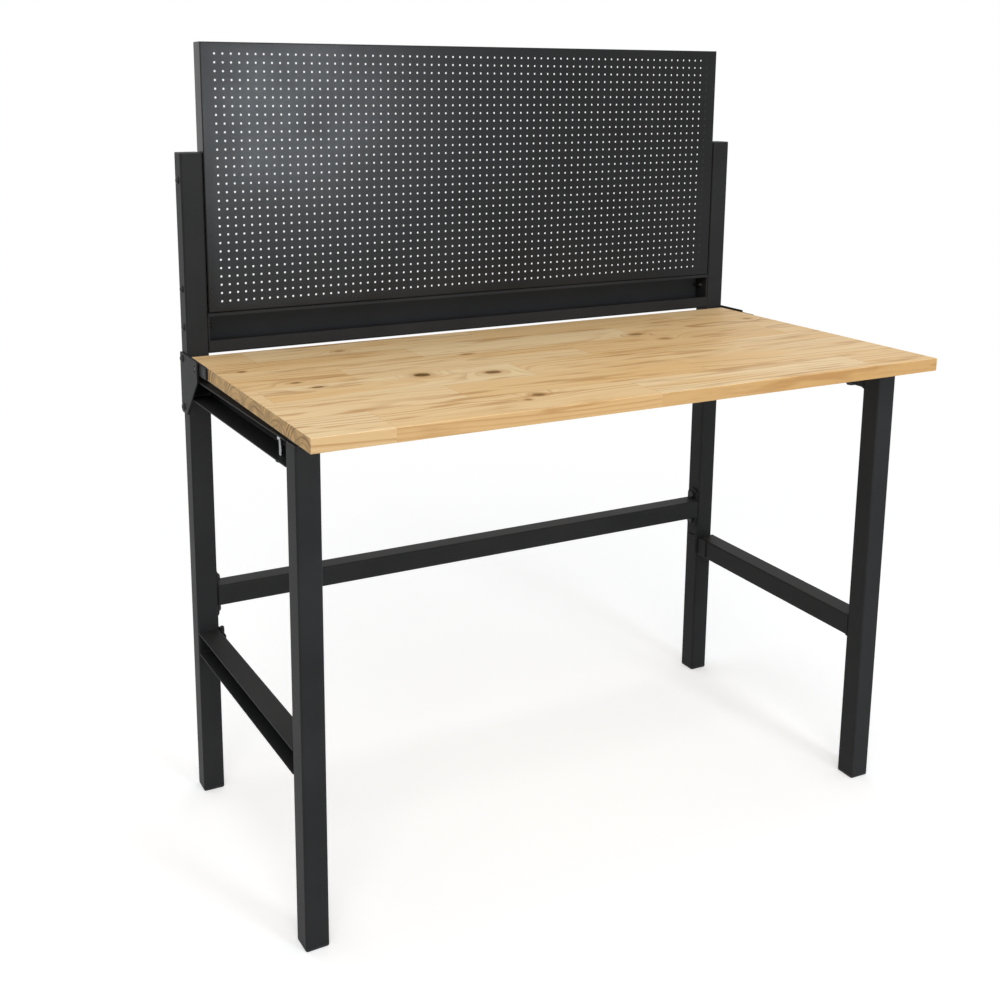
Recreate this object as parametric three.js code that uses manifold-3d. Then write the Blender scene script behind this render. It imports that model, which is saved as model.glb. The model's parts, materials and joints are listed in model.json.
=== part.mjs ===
// Folding workbench: a rear frame with a pegboard, two side frames that swing in, and a hinged worktop.
// Millimetres, +Z up, +X to the right, front facing -Y. The origin is on the floor, mid footprint.
import * as THREE from "three";
import Module from "manifold-3d";
import { mergeGeometries, mergeVertices } from "three/addons/utils/BufferGeometryUtils.js";

const wasm = await Module();
wasm.setup();

// Fits
const FIT = 0.3; // between pieces that seat on each other
const BOLT_PLAY = 0.3; // bolt in its hole, on the radius
const RUNNING = 0.4; // turning pin in its hole, on the radius
const THROUGH = 1; // how far a cutter runs past the face that it cuts

// Square tube of the uprights, legs and lower beam, and the sheet of the folded channels
const TUBE = 40;
const TUBE_WALL = 2;
const TUBE_CORNER = 2; // inside radius
const SHEET = 2;
const BEND = 1.5; // inside radius of a fold
const BEND_STEPS = 3;
const ROUND_SIDES = 12;

// Plastic plugs in the tube ends
const FOOT_RIM = 6;
const CAP_RIM = 3;
const PLUG_LENGTH = 22;

// Rear frame
const WIDTH = 1200; // over the uprights
const UPRIGHT_PAST_BOLT = 48.7; // top of the cap above the highest pegboard bolt
const LOWER_BEAM_CLEAR = 19; // between the beam's end plates and the hinges below them
const END_PLATE = 3;
const END_PLATE_WIDTH = 32;
const LOWER_BEAM_BOLT_OFFSET = 10; // bolt centre beyond the tube, above and below
const UPPER_BEAM_HEIGHT = 73;
const UPPER_BEAM_LIP = 23; // front lip at the bottom
const UPPER_BEAM_TOP_LIP = 6;
const UPPER_BEAM_GAP = 2; // between the worktop's surface and the beam
const UPPER_BEAM_BOLT_DROP = 25; // below the beam's top

// Pegboard: a tray of thin sheet, open at the back
const PANEL_HEIGHT = 475;
const PANEL_DEPTH = 38;
const PANEL_SHEET = 1.5;
const PANEL_SIDE_GAP = 2; // to each upright
const PANEL_SETBACK = 1; // behind the uprights' front faces
const PANEL_BOLT_RISE = 44; // lower bolt above the panel's edge
const PANEL_BOLT_SPACING = 193;
const HOLE_PITCH = 15;
const HOLE_DIAMETER = 4;
const HOLE_MARGIN = 20; // least distance from the panel's edges to a hole's centre
const HOLE_SIDES = 6;
const HOLE_STRIDE = 3; // the solid carries the middle hole of each group of 3 by 3

// Worktop and its brackets
const WORKTOP_TOP = 855;
const WORKTOP_THICKNESS = 23;
const WORKTOP_DEPTH = 600;
const WORKTOP_EDGE = 2; // rounding of its long edges
const WORKTOP_REAR_GAP = 5; // to the uprights' front faces
const HINGE_PLATE = 3.5;
const HINGE_PLATE_INSET = 1.5; // above the board's underside
const HINGE_PLATE_LENGTH = 101;
const HINGE_PLATE_REAR_INSET = 3; // from the board's rear edge
const BRACKET = 3;
const BRACKET_RUN = 1.5; // between the bracket and the hinge plate
const BRACKET_RISE = 3; // above the worktop's surface
const BRACKET_NOSE = 13; // in front of the pivot
const BRACKET_FRONT_EDGE = 37;
const BRACKET_REAR_EDGE = 112;
const BRACKET_FOOT = 32;
const BRACKET_CORNER = 3;
const BRACKET_BOLT_FROM_REAR = 14;
const BRACKET_BOLT_INSET = 11; // from the bracket's top and bottom edges
const PIVOT_DIAMETER = 8;
const PIVOT_REACH = 55; // in front of the uprights' front faces
const PIVOT_DEPTH = 12; // into the board
const SLOT_PLAY = 3.2; // how far the pivot can shift up and down in its slot

// Side frames
const LEG_SETBACK = 85; // front face of the leg behind the worktop's front edge
const FRAME_GAP = 2; // between a rail's end and the upright
const FRAME_TOE_IN = THREE.MathUtils.degToRad(1.4); // the open frames stop this short of square
const RAIL_HEIGHT = 42;
const RAIL_DROP = 11; // between the worktop's underside and the upper rail
const LOWER_RAIL_TOP = 327;
const PAD_CLEAR = 0.5; // between a rest pad and the leg under it
const PAD_MARGIN = 2; // from the leg's faces to the pad's
const LOCK_SETBACK = 58; // lock bolt behind the leg's rear face
const LOCK_OFFSET = 5; // from the middle of the rail towards its open side
const LOCK_DRAWN = 9; // its tip below the rail's top while it is drawn down

// Butt hinges of the side frames
const HINGE_BARREL = 9;
const HINGE_PIN = 5;
const HINGE_PIN_HEAD = 7.5;
const HINGE_PIN_HEAD_HEIGHT = 2;
const HINGE_LEAF = 2.5;
const HINGE_LEAF_LENGTH = 32;
const HINGE_HEIGHT = 41;
const HINGE_RISE = 3; // top of the barrel above the rail's top
const HINGE_AIR = 0.5; // between the barrel and the rail or upright beside it

// Bolts: shank diameter, head across flats or diameter, head height
const M8 = { shank: 8, head: 13, height: 5.5, sides: 6 };
const M8_LOW = { shank: 8, head: 14, height: 3, sides: ROUND_SIDES };
const M6 = { shank: 6, head: 12, height: 3.5, sides: ROUND_SIDES };
const LOCK = { shank: 6, head: 16, height: 8, sides: 6 };
const LOCK_NUT = { head: 10, height: 5, sides: 6, below: 1 }; // that far below the bolt's tip
const BOLT_PAST = 8; // how far a bolt's end stands past what it holds

// Places that follow from the sizes above
const outer = -WIDTH / 2; // outer face of the left upright
const inner = outer + TUBE;
const tubeMiddle = outer + TUBE / 2;
const worktopUnderside = WORKTOP_TOP - WORKTOP_THICKNESS;
const worktopRear = -WORKTOP_REAR_GAP;
const worktopFront = worktopRear - WORKTOP_DEPTH;
const bracketInside = outer - FIT;
const platePlane = bracketInside + BRACKET_RUN; // outer face of the hinge plate
const worktopEnd = platePlane + HINGE_PLATE + FIT;
const pivotHeight = WORKTOP_TOP - WORKTOP_THICKNESS / 2;
const upperRailTop = worktopUnderside - RAIL_DROP;
const legTop = upperRailTop;
const legFront = worktopFront + LEG_SETBACK;
const legRear = legFront + TUBE;
const legCentre = [tubeMiddle, legFront + TUBE / 2];
const upperBeamBottom = WORKTOP_TOP + UPPER_BEAM_GAP;
const panelBottom = upperBeamBottom + UPPER_BEAM_HEIGHT + FIT;
const panelSide = inner + PANEL_SIDE_GAP;
const lowerBeamBolt = LOWER_RAIL_TOP + LOWER_BEAM_CLEAR + END_PLATE_WIDTH / 2;
const lowerBeamMiddle = lowerBeamBolt + LOWER_BEAM_BOLT_OFFSET + TUBE / 2;
const lowerBeamBolts = [lowerBeamBolt, 2 * lowerBeamMiddle - lowerBeamBolt];
const panelBolts = [panelBottom + PANEL_BOLT_RISE, panelBottom + PANEL_BOLT_RISE + PANEL_BOLT_SPACING];
const uprightHeight = panelBolts[1] + UPRIGHT_PAST_BOLT;
const upperBeamBolt = upperBeamBottom + UPPER_BEAM_HEIGHT - UPPER_BEAM_BOLT_DROP;
const bracketTop = WORKTOP_TOP + BRACKET_RISE;
const bracketBolts = [bracketTop - BRACKET_REAR_EDGE + BRACKET_BOLT_INSET, bracketTop - BRACKET_BOLT_INSET];
const bracketBoltY = TUBE - BRACKET_BOLT_FROM_REAR;
const hingeAxis = { x: inner + HINGE_BARREL / 2 + HINGE_AIR, y: -FRAME_GAP / 2 };
const lockPlace = [tubeMiddle - LOCK_OFFSET, legRear + LOCK_SETBACK];

// Finishes
function finish(color, roughness, metalness) {
  return new THREE.MeshStandardMaterial({ color, roughness, metalness });
}

const powderCoat = finish(0x232426, 0.5, 0.1);
const blackPlastic = finish(0x161617, 0.6, 0);
const blackBolt = finish(0x1b1b1c, 0.45, 0.6);
const zinc = finish(0xb9bcc0, 0.35, 0.9);
const rubber = finish(0x1d1d1d, 0.85, 0);
const pine = finish(0xdcbb8c, 0.6, 0);

/** A three.js geometry as a solid that can be joined and cut. */
function solid(geometry) {
  const bare = geometry.index ? geometry.toNonIndexed() : geometry.clone();
  for (const name of ["normal", "uv"]) bare.deleteAttribute(name);
  const merged = mergeVertices(bare);
  const mesh = { numProp: 3, vertProperties: merged.attributes.position.array, triVerts: merged.index.array };
  return new wasm.Manifold(new wasm.Mesh(mesh));
}

/** A solid back as a three.js geometry. */
function geometryOf(body) {
  const { vertProperties, triVerts } = body.getMesh();
  const geometry = new THREE.BufferGeometry();
  geometry.setAttribute("position", new THREE.BufferAttribute(vertProperties, 3));
  geometry.setIndex(new THREE.BufferAttribute(triVerts, 1));
  geometry.computeVertexNormals();
  return geometry;
}

/** The geometries in `add` joined, less those in `cut`. */
function join(add, cut = []) {
  const whole = add.map(solid).reduce((sum, next) => sum.add(next));
  return geometryOf(cut.map(solid).reduce((rest, next) => rest.subtract(next), whole));
}

/** A box between two opposite corners. */
function block(low, high) {
  const size = high.map((value, k) => value - low[k]);
  return new THREE.BoxGeometry(...size).translate(...low.map((value, k) => value + size[k] / 2));
}

/** A bar along one axis, centred on the other two coordinates. */
function bar(axis, diameter, from, to, centre, sides = ROUND_SIDES) {
  const geometry = new THREE.CylinderGeometry(diameter / 2, diameter / 2, to - from, sides);
  if (axis === "x") geometry.rotateZ(-Math.PI / 2);
  if (axis === "z") geometry.rotateX(Math.PI / 2);
  const middle = (from + to) / 2;
  const place = axis === "x" ? [middle, ...centre] : [...centre, middle];
  return geometry.translate(...place);
}

/** Points along a run of corners, with each one rounded. A closed run is rounded at every corner. */
function rounded(corners, radius, closed = false) {
  const points = corners.map(([x, y]) => new THREE.Vector2(x, y));
  const count = points.length;
  const out = [];
  points.forEach((corner, k) => {
    if (!closed && (k === 0 || k === count - 1)) {
      out.push(corner);
      return;
    }
    const towards = (other) => other.clone().sub(corner).setLength(radius).add(corner);
    const before = towards(points[(k + count - 1) % count]);
    const after = towards(points[(k + 1) % count]);
    out.push(...new THREE.QuadraticBezierCurve(before, corner, after).getPoints(BEND_STEPS));
  });
  return out;
}

/** The outside of the square tube about the origin, or the outline that lies `inset` inside it. */
function tubeOutline(inset = 0) {
  const h = TUBE / 2 - inset;
  const corner = TUBE_CORNER + Math.max(TUBE_WALL - inset, 0);
  return rounded([[-h, -h], [h, -h], [h, h], [-h, h]], corner, true);
}

/** The section of a folded sheet: its outer corners, all bending to the left, and the sheet inside them. */
function foldedSection(corners) {
  const points = corners.map(([x, y]) => new THREE.Vector2(x, y));
  const left = (a, b) => b.clone().sub(a).normalize().rotateAround(new THREE.Vector2(), Math.PI / 2);
  const inside = points.map((point, k) => {
    const move = new THREE.Vector2();
    if (k > 0) move.add(left(points[k - 1], point));
    if (k < points.length - 1) move.add(left(point, points[k + 1]));
    return point.clone().addScaledVector(move, SHEET).toArray();
  });
  return new THREE.Shape([...rounded(corners, BEND + SHEET), ...rounded(inside, BEND).reverse()]);
}

/** A shape drawn in one plane and pulled along the axis square to it, from `from` to `to`. */
function pulled(shape, axis, from, to) {
  const settings = { depth: to - from, bevelEnabled: false, curveSegments: ROUND_SIDES / 2 };
  const geometry = new THREE.ExtrudeGeometry(shape, settings);
  const [x, y, z] = [[1, 0, 0], [0, 1, 0], [0, 0, 1]].map((v) => new THREE.Vector3(...v));
  geometry.translate(0, 0, axis === "y" ? -to : from);
  if (axis === "x") geometry.applyMatrix4(new THREE.Matrix4().makeBasis(y, z, x));
  if (axis === "y") geometry.applyMatrix4(new THREE.Matrix4().makeBasis(x, z, y.clone().negate()));
  return geometry;
}

/** A square tube with open ends along one axis, centred on the other two coordinates. */
function squareTube(axis, from, to, centre) {
  const section = new THREE.Shape(tubeOutline());
  section.holes.push(new THREE.Path(tubeOutline(TUBE_WALL)));
  const geometry = pulled(section, axis, from, to);
  return axis === "x" ? geometry.translate(0, ...centre) : geometry.translate(...centre, 0);
}

/** A plastic plug for a tube's end: a rim that covers the end and an insert that goes in as far as `into`. */
function plug(rimFrom, rimTo, into, centre) {
  const rim = pulled(new THREE.Shape(tubeOutline()), "z", rimFrom, rimTo);
  const insertOutline = new THREE.Shape(tubeOutline(TUBE_WALL + FIT));
  const insert = pulled(insertOutline, "z", Math.min(into, rimFrom), Math.max(into, rimTo));
  return join([rim.translate(...centre, 0), insert.translate(...centre, 0)]);
}

/** Diameter of the circle that a head or nut is turned from. */
const headDiameter = ({ head, sides }) => (sides === 6 ? head / Math.cos(Math.PI / 6) : head);

/** A bolt along X: its head stands on `seat`, on the side away from `tip`. */
function boltAlongX(kind, seat, tip, centre) {
  const way = Math.sign(tip - seat);
  const [headLow, headHigh] = [seat, seat - way * kind.height].sort((a, b) => a - b);
  const [low, high] = [seat - (way * kind.height) / 2, tip].sort((a, b) => a - b);
  const head = bar("x", headDiameter(kind), headLow, headHigh, centre, kind.sides);
  return join([head, bar("x", kind.shank, low, high, centre)]);
}

/** The hole along X that a bolt passes through. */
const boltHole = (kind, from, to, centre) => bar("x", kind.shank + 2 * BOLT_PLAY, from, to, centre);

/** A channel open towards the outside, as wide as the tubes, between two places along Y. */
function rail(top, from, to) {
  const bottom = top - RAIL_HEIGHT;
  const section = foldedSection([[outer, bottom], [inner, bottom], [inner, top], [outer, top]]);
  return pulled(section, "y", from, to);
}

/** Half of a butt hinge: a leaf along Y, to the front or rear (way -1 or 1), and its half of the barrel. */
function hingeHalf(railTop, way, halfFrom, halfTo) {
  const top = railTop + HINGE_RISE;
  const bottom = top - HINGE_HEIGHT;
  const [plateNear, plateFar] = [inner + FIT, inner + FIT + HINGE_LEAF];
  const near = HINGE_BARREL / 2 + HINGE_AIR;
  const plate = (from, to, low, high) => {
    const [front, rear] = [hingeAxis.y + way * from, hingeAxis.y + way * to].sort((a, b) => a - b);
    return block([plateNear, front, low], [plateFar, rear, high]);
  };
  const centre = [hingeAxis.x, hingeAxis.y];
  return join(
    [plate(near, HINGE_LEAF_LENGTH, bottom, railTop),
      plate(0, near + THROUGH, halfFrom, Math.min(halfTo, railTop)),
      bar("z", HINGE_BARREL, halfFrom, halfTo, centre)],
    [bar("z", HINGE_PIN + 2 * RUNNING, bottom - THROUGH, top + THROUGH, centre)],
  );
}

const root = new THREE.Group();
const bench = new THREE.Group(); // its origin is between the uprights' front faces
bench.position.y = -(worktopFront + TUBE) / 2;
root.add(bench);

function addPiece(parent, name, geometry, material) {
  const piece = new THREE.Mesh(geometry, material);
  piece.name = name;
  parent.add(piece);
}

// Rear beams
function lowerBeam() {
  const end = -inner - FIT;
  const section = new THREE.Shape();
  const radius = END_PLATE_WIDTH / 2;
  section.absarc(TUBE / 2, lowerBeamBolts[0], radius, Math.PI, 2 * Math.PI);
  section.absarc(TUBE / 2, lowerBeamBolts[1], radius, 0, Math.PI);
  const centre = [TUBE / 2, lowerBeamMiddle];
  const boreOutline = new THREE.Shape(tubeOutline(TUBE_WALL));
  const boreCut = pulled(boreOutline, "x", -end - THROUGH, end + THROUGH).translate(0, ...centre);
  const plates = [-end, end - END_PLATE].map((from) => pulled(section, "x", from, from + END_PLATE));
  const holes = lowerBeamBolts.map((z) => boltHole(M8, -end - THROUGH, end + THROUGH, [TUBE / 2, z]));
  const tube = squareTube("x", -end + END_PLATE / 2, end - END_PLATE / 2, centre);
  return join([tube, ...plates], [boreCut, ...holes]);
}

function upperBeam() {
  const end = -inner - FIT;
  const [bottom, top] = [upperBeamBottom, upperBeamBottom + UPPER_BEAM_HEIGHT];
  const section = foldedSection([
    [0, bottom + UPPER_BEAM_LIP], [0, bottom], [TUBE, bottom],
    [TUBE, top], [0, top], [0, top - UPPER_BEAM_TOP_LIP],
  ]);
  return pulled(section, "x", -end, end);
}

function pegboard() {
  const [front, rear] = [PANEL_SETBACK, PANEL_SETBACK + PANEL_DEPTH];
  const top = panelBottom + PANEL_HEIGHT;
  const tray = block([panelSide, front, panelBottom], [-panelSide, rear, top]);
  const hollow = block(
    [panelSide + PANEL_SHEET, front + PANEL_SHEET, panelBottom + PANEL_SHEET],
    [-panelSide - PANEL_SHEET, rear + THROUGH, top - PANEL_SHEET],
  );
  const holePlaces = (length) => {
    const count = Math.floor((length - 2 * HOLE_MARGIN) / HOLE_PITCH) + 1;
    const places = Array.from({ length: count }, (_, k) => (k - (count - 1) / 2) * HOLE_PITCH);
    return places.filter((_, k) => k % HOLE_STRIDE === Math.floor(HOLE_STRIDE / 2));
  };
  const rows = holePlaces(PANEL_HEIGHT).map((z) => panelBottom + PANEL_HEIGHT / 2 + z);
  const hole = new THREE.CylinderGeometry(HOLE_DIAMETER / 2, HOLE_DIAMETER / 2, 2 * PANEL_SHEET, HOLE_SIDES);
  const holes = holePlaces(-2 * panelSide).flatMap((x) =>
    rows.map((z) => hole.clone().translate(x, front + PANEL_SHEET / 2, z)));
  const across = [panelSide - THROUGH, -panelSide + THROUGH];
  const boltHoles = panelBolts.map((z) => boltHole(M6, ...across, [TUBE / 2, z]));
  return join([tray], [hollow, mergeGeometries(holes), ...boltHoles]);
}

addPiece(bench, "rear_beam_lower", lowerBeam(), powderCoat);
addPiece(bench, "rear_beam_upper", upperBeam(), powderCoat);
addPiece(bench, "pegboard", pegboard(), powderCoat);

// Worktop board
function worktopBoard() {
  const section = new THREE.Shape(rounded([
    [worktopFront, worktopUnderside], [worktopRear, worktopUnderside],
    [worktopRear, WORKTOP_TOP], [worktopFront, WORKTOP_TOP],
  ], WORKTOP_EDGE, true));
  const place = [-PIVOT_REACH, pivotHeight];
  const holeSize = PIVOT_DIAMETER + 2 * BOLT_PLAY;
  const depth = PIVOT_DEPTH + FIT;
  const pinHoles = [
    bar("x", holeSize, worktopEnd - THROUGH, worktopEnd + depth, place),
    bar("x", holeSize, -worktopEnd - depth, -worktopEnd + THROUGH, place),
  ];
  return join([pulled(section, "x", worktopEnd, -worktopEnd)], pinHoles);
}

addPiece(bench, "worktop_board", worktopBoard(), pine);

// Left-hand pieces of the rear frame
function upperBeamPlate() {
  const [from, to] = [inner + FIT, inner + FIT + END_PLATE];
  const inset = SHEET + FIT;
  const [front, rear] = [inset, TUBE - inset];
  const [bottom, top] = [upperBeamBottom + inset, upperBeamBottom + UPPER_BEAM_HEIGHT - inset];
  const outline = rounded([[front, bottom], [rear, bottom], [rear, top], [front, top]], BEND, true);
  const hole = boltHole(M8, from - THROUGH, to + THROUGH, [TUBE / 2, upperBeamBolt]);
  return join([pulled(new THREE.Shape(outline), "x", from, to)], [hole]);
}

function upright() {
  const [from, to] = [FOOT_RIM + FIT, uprightHeight - CAP_RIM - FIT];
  const wide = [outer - THROUGH, inner + THROUGH];
  const outerWall = [outer - THROUGH, tubeMiddle];
  const innerWall = [tubeMiddle, inner + THROUGH];
  const holes = [
    ...panelBolts.map((z) => boltHole(M6, ...wide, [TUBE / 2, z])),
    boltHole(M8, ...wide, [TUBE / 2, upperBeamBolt]),
    ...bracketBolts.map((z) => boltHole(M8, ...outerWall, [bracketBoltY, z])),
    ...lowerBeamBolts.map((z) => boltHole(M8, ...innerWall, [TUBE / 2, z])),
  ];
  return join([squareTube("z", from, to, [tubeMiddle, TUBE / 2])], holes);
}

function worktopBracket() {
  const [front, rear, bottom] = [-PIVOT_REACH - BRACKET_NOSE, TUBE, bracketTop - BRACKET_REAR_EDGE];
  const plate = new THREE.Shape(rounded([
    [rear, bracketTop], [front, bracketTop], [front, bracketTop - BRACKET_FRONT_EDGE],
    [rear - BRACKET_FOOT, bottom], [rear, bottom],
  ], BRACKET_CORNER, true));
  const radius = PIVOT_DIAMETER / 2 + RUNNING;
  const slot = new THREE.Path();
  slot.absarc(-PIVOT_REACH, pivotHeight + SLOT_PLAY / 2, radius, 0, Math.PI);
  slot.absarc(-PIVOT_REACH, pivotHeight - SLOT_PLAY / 2, radius, Math.PI, 2 * Math.PI);
  plate.holes.push(slot);
  const holes = bracketBolts.map((z) =>
    boltHole(M8, bracketInside - BRACKET - THROUGH, bracketInside + THROUGH, [bracketBoltY, z]));
  return join([pulled(plate, "x", bracketInside - BRACKET, bracketInside)], holes);
}

function addRearSide(group, side) {
  const tubeCentre = [tubeMiddle, TUBE / 2];
  const capBottom = uprightHeight - CAP_RIM;
  const add = (name, geometry, material) => addPiece(group, `${name}_${side}`, geometry, material);
  add("upright", upright(), powderCoat);
  add("upright_foot", plug(0, FOOT_RIM, FOOT_RIM + PLUG_LENGTH, tubeCentre), blackPlastic);
  add("upright_cap", plug(capBottom, uprightHeight, capBottom - PLUG_LENGTH, tubeCentre), blackPlastic);
  add("upper_beam_plate", upperBeamPlate(), powderCoat);
  add("worktop_bracket", worktopBracket(), powderCoat);

  const levels = ["lower", "upper"];
  const bracketSeat = bracketInside - BRACKET - FIT;
  const beamSeat = inner + FIT + END_PLATE + FIT;
  levels.forEach((level, k) => {
    const bracketTip = outer + TUBE_WALL + BOLT_PAST;
    const beamTip = inner - TUBE_WALL - BOLT_PAST;
    const panelTip = panelSide + PANEL_SHEET + BOLT_PAST;
    const bracketBolt = boltAlongX(M8_LOW, bracketSeat, bracketTip, [bracketBoltY, bracketBolts[k]]);
    const beamBolt = boltAlongX(M8, beamSeat, beamTip, [TUBE / 2, lowerBeamBolts[k]]);
    const panelBolt = boltAlongX(M6, outer - FIT, panelTip, [TUBE / 2, panelBolts[k]]);
    add(`bracket_bolt_${level}`, bracketBolt, blackBolt);
    add(`lower_beam_bolt_${level}`, beamBolt, blackBolt);
    add(`pegboard_bolt_${level}`, panelBolt, blackBolt);
  });
  const upperTip = inner + FIT + END_PLATE + BOLT_PAST;
  const upperBolt = boltAlongX(M8_LOW, outer - FIT, upperTip, [TUBE / 2, upperBeamBolt]);
  add("upper_beam_bolt", upperBolt, blackBolt);

  [LOWER_RAIL_TOP, upperRailTop].forEach((railTop, k) => {
    const top = railTop + HINGE_RISE;
    const [low, middle] = [top - HINGE_HEIGHT, top - HINGE_HEIGHT / 2];
    const centre = [hingeAxis.x, hingeAxis.y];
    const pinHead = bar("z", HINGE_PIN_HEAD, top + FIT, top + FIT + HINGE_PIN_HEAD_HEIGHT, centre);
    const pinShank = bar("z", HINGE_PIN, low, top + FIT + HINGE_PIN_HEAD_HEIGHT / 2, centre);
    add(`hinge_leaf_upright_${levels[k]}`, hingeHalf(railTop, 1, low, middle - FIT / 2), powderCoat);
    add(`hinge_pin_${levels[k]}`, join([pinHead, pinShank]), blackBolt);
  });
}

// Left-hand side frame, drawn square and then turned in by the toe-in about its hinge axis
function upperRail() {
  const [low, high] = [upperRailTop - RAIL_HEIGHT - THROUGH, upperRailTop + THROUGH];
  const hole = bar("z", LOCK.shank + 2 * BOLT_PLAY, low, high, lockPlace);
  return join([rail(upperRailTop, legRear + FIT, -FRAME_GAP)], [hole]);
}

function lockBolt() {
  const seat = upperRailTop - RAIL_HEIGHT - FIT;
  const head = bar("z", headDiameter(LOCK), seat - LOCK.height, seat, lockPlace, LOCK.sides);
  return join([head, bar("z", LOCK.shank, seat - LOCK.height / 2, upperRailTop - LOCK_DRAWN, lockPlace)]);
}

function lockNut() {
  const top = upperRailTop - LOCK_DRAWN - LOCK_NUT.below;
  const bottom = top - LOCK_NUT.height;
  const body = bar("z", headDiameter(LOCK_NUT), bottom, top, lockPlace, LOCK_NUT.sides);
  return join([body], [bar("z", LOCK.shank + 2 * BOLT_PLAY, bottom - THROUGH, top + THROUGH, lockPlace)]);
}

function addSideFrame(group, side) {
  const capBottom = legTop - CAP_RIM;
  const add = (name, geometry, material) => addPiece(group, `${name}_${side}`, geometry, material);
  add("front_leg", squareTube("z", FOOT_RIM + FIT, capBottom - FIT, legCentre), powderCoat);
  add("leg_foot", plug(0, FOOT_RIM, FOOT_RIM + PLUG_LENGTH, legCentre), blackPlastic);
  add("leg_cap", plug(capBottom, legTop, capBottom - PLUG_LENGTH, legCentre), blackPlastic);
  add("upper_rail", upperRail(), powderCoat);
  add("lower_rail", rail(LOWER_RAIL_TOP, legRear + FIT, -FRAME_GAP), powderCoat);
  add("lock_bolt", lockBolt(), zinc);
  add("lock_nut", lockNut(), zinc);
  [LOWER_RAIL_TOP, upperRailTop].forEach((railTop, k) => {
    const top = railTop + HINGE_RISE;
    const leaf = hingeHalf(railTop, -1, top - HINGE_HEIGHT / 2 + FIT / 2, top);
    add(`hinge_leaf_rail_${["lower", "upper"][k]}`, leaf, powderCoat);
  });
}

// Left-hand steel on the worktop's end
function hingePlate() {
  const rear = worktopRear - HINGE_PLATE_REAR_INSET;
  const plate = block(
    [platePlane, rear - HINGE_PLATE_LENGTH, worktopUnderside + HINGE_PLATE_INSET],
    [platePlane + HINGE_PLATE, rear, WORKTOP_TOP],
  );
  const hole = bar("x", PIVOT_DIAMETER + 2 * BOLT_PLAY, platePlane - THROUGH, worktopEnd + THROUGH,
    [-PIVOT_REACH, pivotHeight]);
  return join([plate], [hole]);
}

function restPad() {
  const centre = new THREE.Vector2(...legCentre).rotateAround(hingeAxis, FRAME_TOE_IN);
  const half = TUBE / 2 - PAD_MARGIN;
  return block(
    [centre.x - half, centre.y - half, legTop + PAD_CLEAR],
    [centre.x + half, centre.y + half, worktopUnderside - FIT],
  );
}

function addWorktopSide(group, side) {
  const place = [-PIVOT_REACH, pivotHeight];
  const pin = bar("x", PIVOT_DIAMETER, bracketInside - BRACKET, worktopEnd + PIVOT_DEPTH, place);
  addPiece(group, `hinge_plate_${side}`, hingePlate(), powderCoat);
  addPiece(group, `pivot_pin_${side}`, pin, blackBolt);
  addPiece(group, `rest_pad_${side}`, restPad(), rubber);
}

// The right-hand pieces are the left-hand ones mirrored
for (const side of ["left", "right"]) {
  const half = new THREE.Group();
  half.scale.x = side === "left" ? 1 : -1;
  bench.add(half);

  const frame = new THREE.Group(); // turns about the hinge axis
  const frameBody = new THREE.Group();
  frame.position.set(hingeAxis.x, hingeAxis.y, 0);
  frame.rotation.z = FRAME_TOE_IN;
  frameBody.position.set(-hingeAxis.x, -hingeAxis.y, 0);
  frame.add(frameBody);
  half.add(frame);

  addRearSide(half, side);
  addSideFrame(frameBody, side);
  addWorktopSide(half, side);
}

export default root;
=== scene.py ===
"""Folding workbench: the visible surfaces of every piece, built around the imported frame.

Metres, +Z up, +X to the right, front facing -Y.
"""

import json
import math
from collections import namedtuple

import bmesh
import bpy
from bpy.props import FloatProperty, FloatVectorProperty, IntProperty, PointerProperty
from mathutils import Matrix, Vector


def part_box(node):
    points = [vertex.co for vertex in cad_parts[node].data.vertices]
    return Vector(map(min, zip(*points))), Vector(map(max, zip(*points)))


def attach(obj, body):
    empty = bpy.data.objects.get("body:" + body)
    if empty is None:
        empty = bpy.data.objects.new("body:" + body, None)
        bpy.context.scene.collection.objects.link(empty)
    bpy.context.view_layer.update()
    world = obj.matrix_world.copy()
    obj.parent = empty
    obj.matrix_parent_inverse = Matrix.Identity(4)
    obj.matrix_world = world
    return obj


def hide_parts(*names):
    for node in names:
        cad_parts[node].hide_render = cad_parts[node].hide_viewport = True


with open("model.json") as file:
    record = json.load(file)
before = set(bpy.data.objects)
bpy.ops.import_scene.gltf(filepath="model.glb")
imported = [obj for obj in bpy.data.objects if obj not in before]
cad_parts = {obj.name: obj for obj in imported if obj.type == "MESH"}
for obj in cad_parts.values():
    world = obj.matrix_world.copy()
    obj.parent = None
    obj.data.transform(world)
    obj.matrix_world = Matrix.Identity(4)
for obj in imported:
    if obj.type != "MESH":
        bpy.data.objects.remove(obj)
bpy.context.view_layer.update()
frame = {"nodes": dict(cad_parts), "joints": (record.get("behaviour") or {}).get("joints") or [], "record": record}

bl_info = {
    "name": "Folding workbench",
    "version": (1, 0, 0),
    "blender": (4, 5, 0),
    "location": "View3D > Sidebar > Workbench",
    "description": "Builds the surfaces and finishes of a folding workbench",
    "category": "Object",
}

SIDES = ("left", "right")
LEVELS = ("lower", "upper")

# Body and material slot of each node, from the record
BODY = {node: body for body, nodes in frame["record"]["behaviour"]["bodies"].items() for node in nodes}
SLOT = {part["node"]: part["material_slot"] for part in frame["record"]["subparts"]}

# The left side frame's hinge line, and how far the side frames stand turned in from square
SWING = next(joint for joint in frame["joints"] if joint["child"] == "left_frame")
HINGE = Vector(SWING["pos_m"])
TOE_IN = math.radians(90 - SWING["range_deg"][1])
MIRROR = Matrix.Diagonal((-1, 1, 1, 1))

# Fineness of the meshes
CORNER_STEPS = 6
BEND_STEPS = 5
ROUND = 32
HEX_ROUND = 24
SMALL_ROUND = 16
BEAD_SIDES = 10
SHARP_ANGLE = math.radians(32)

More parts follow.
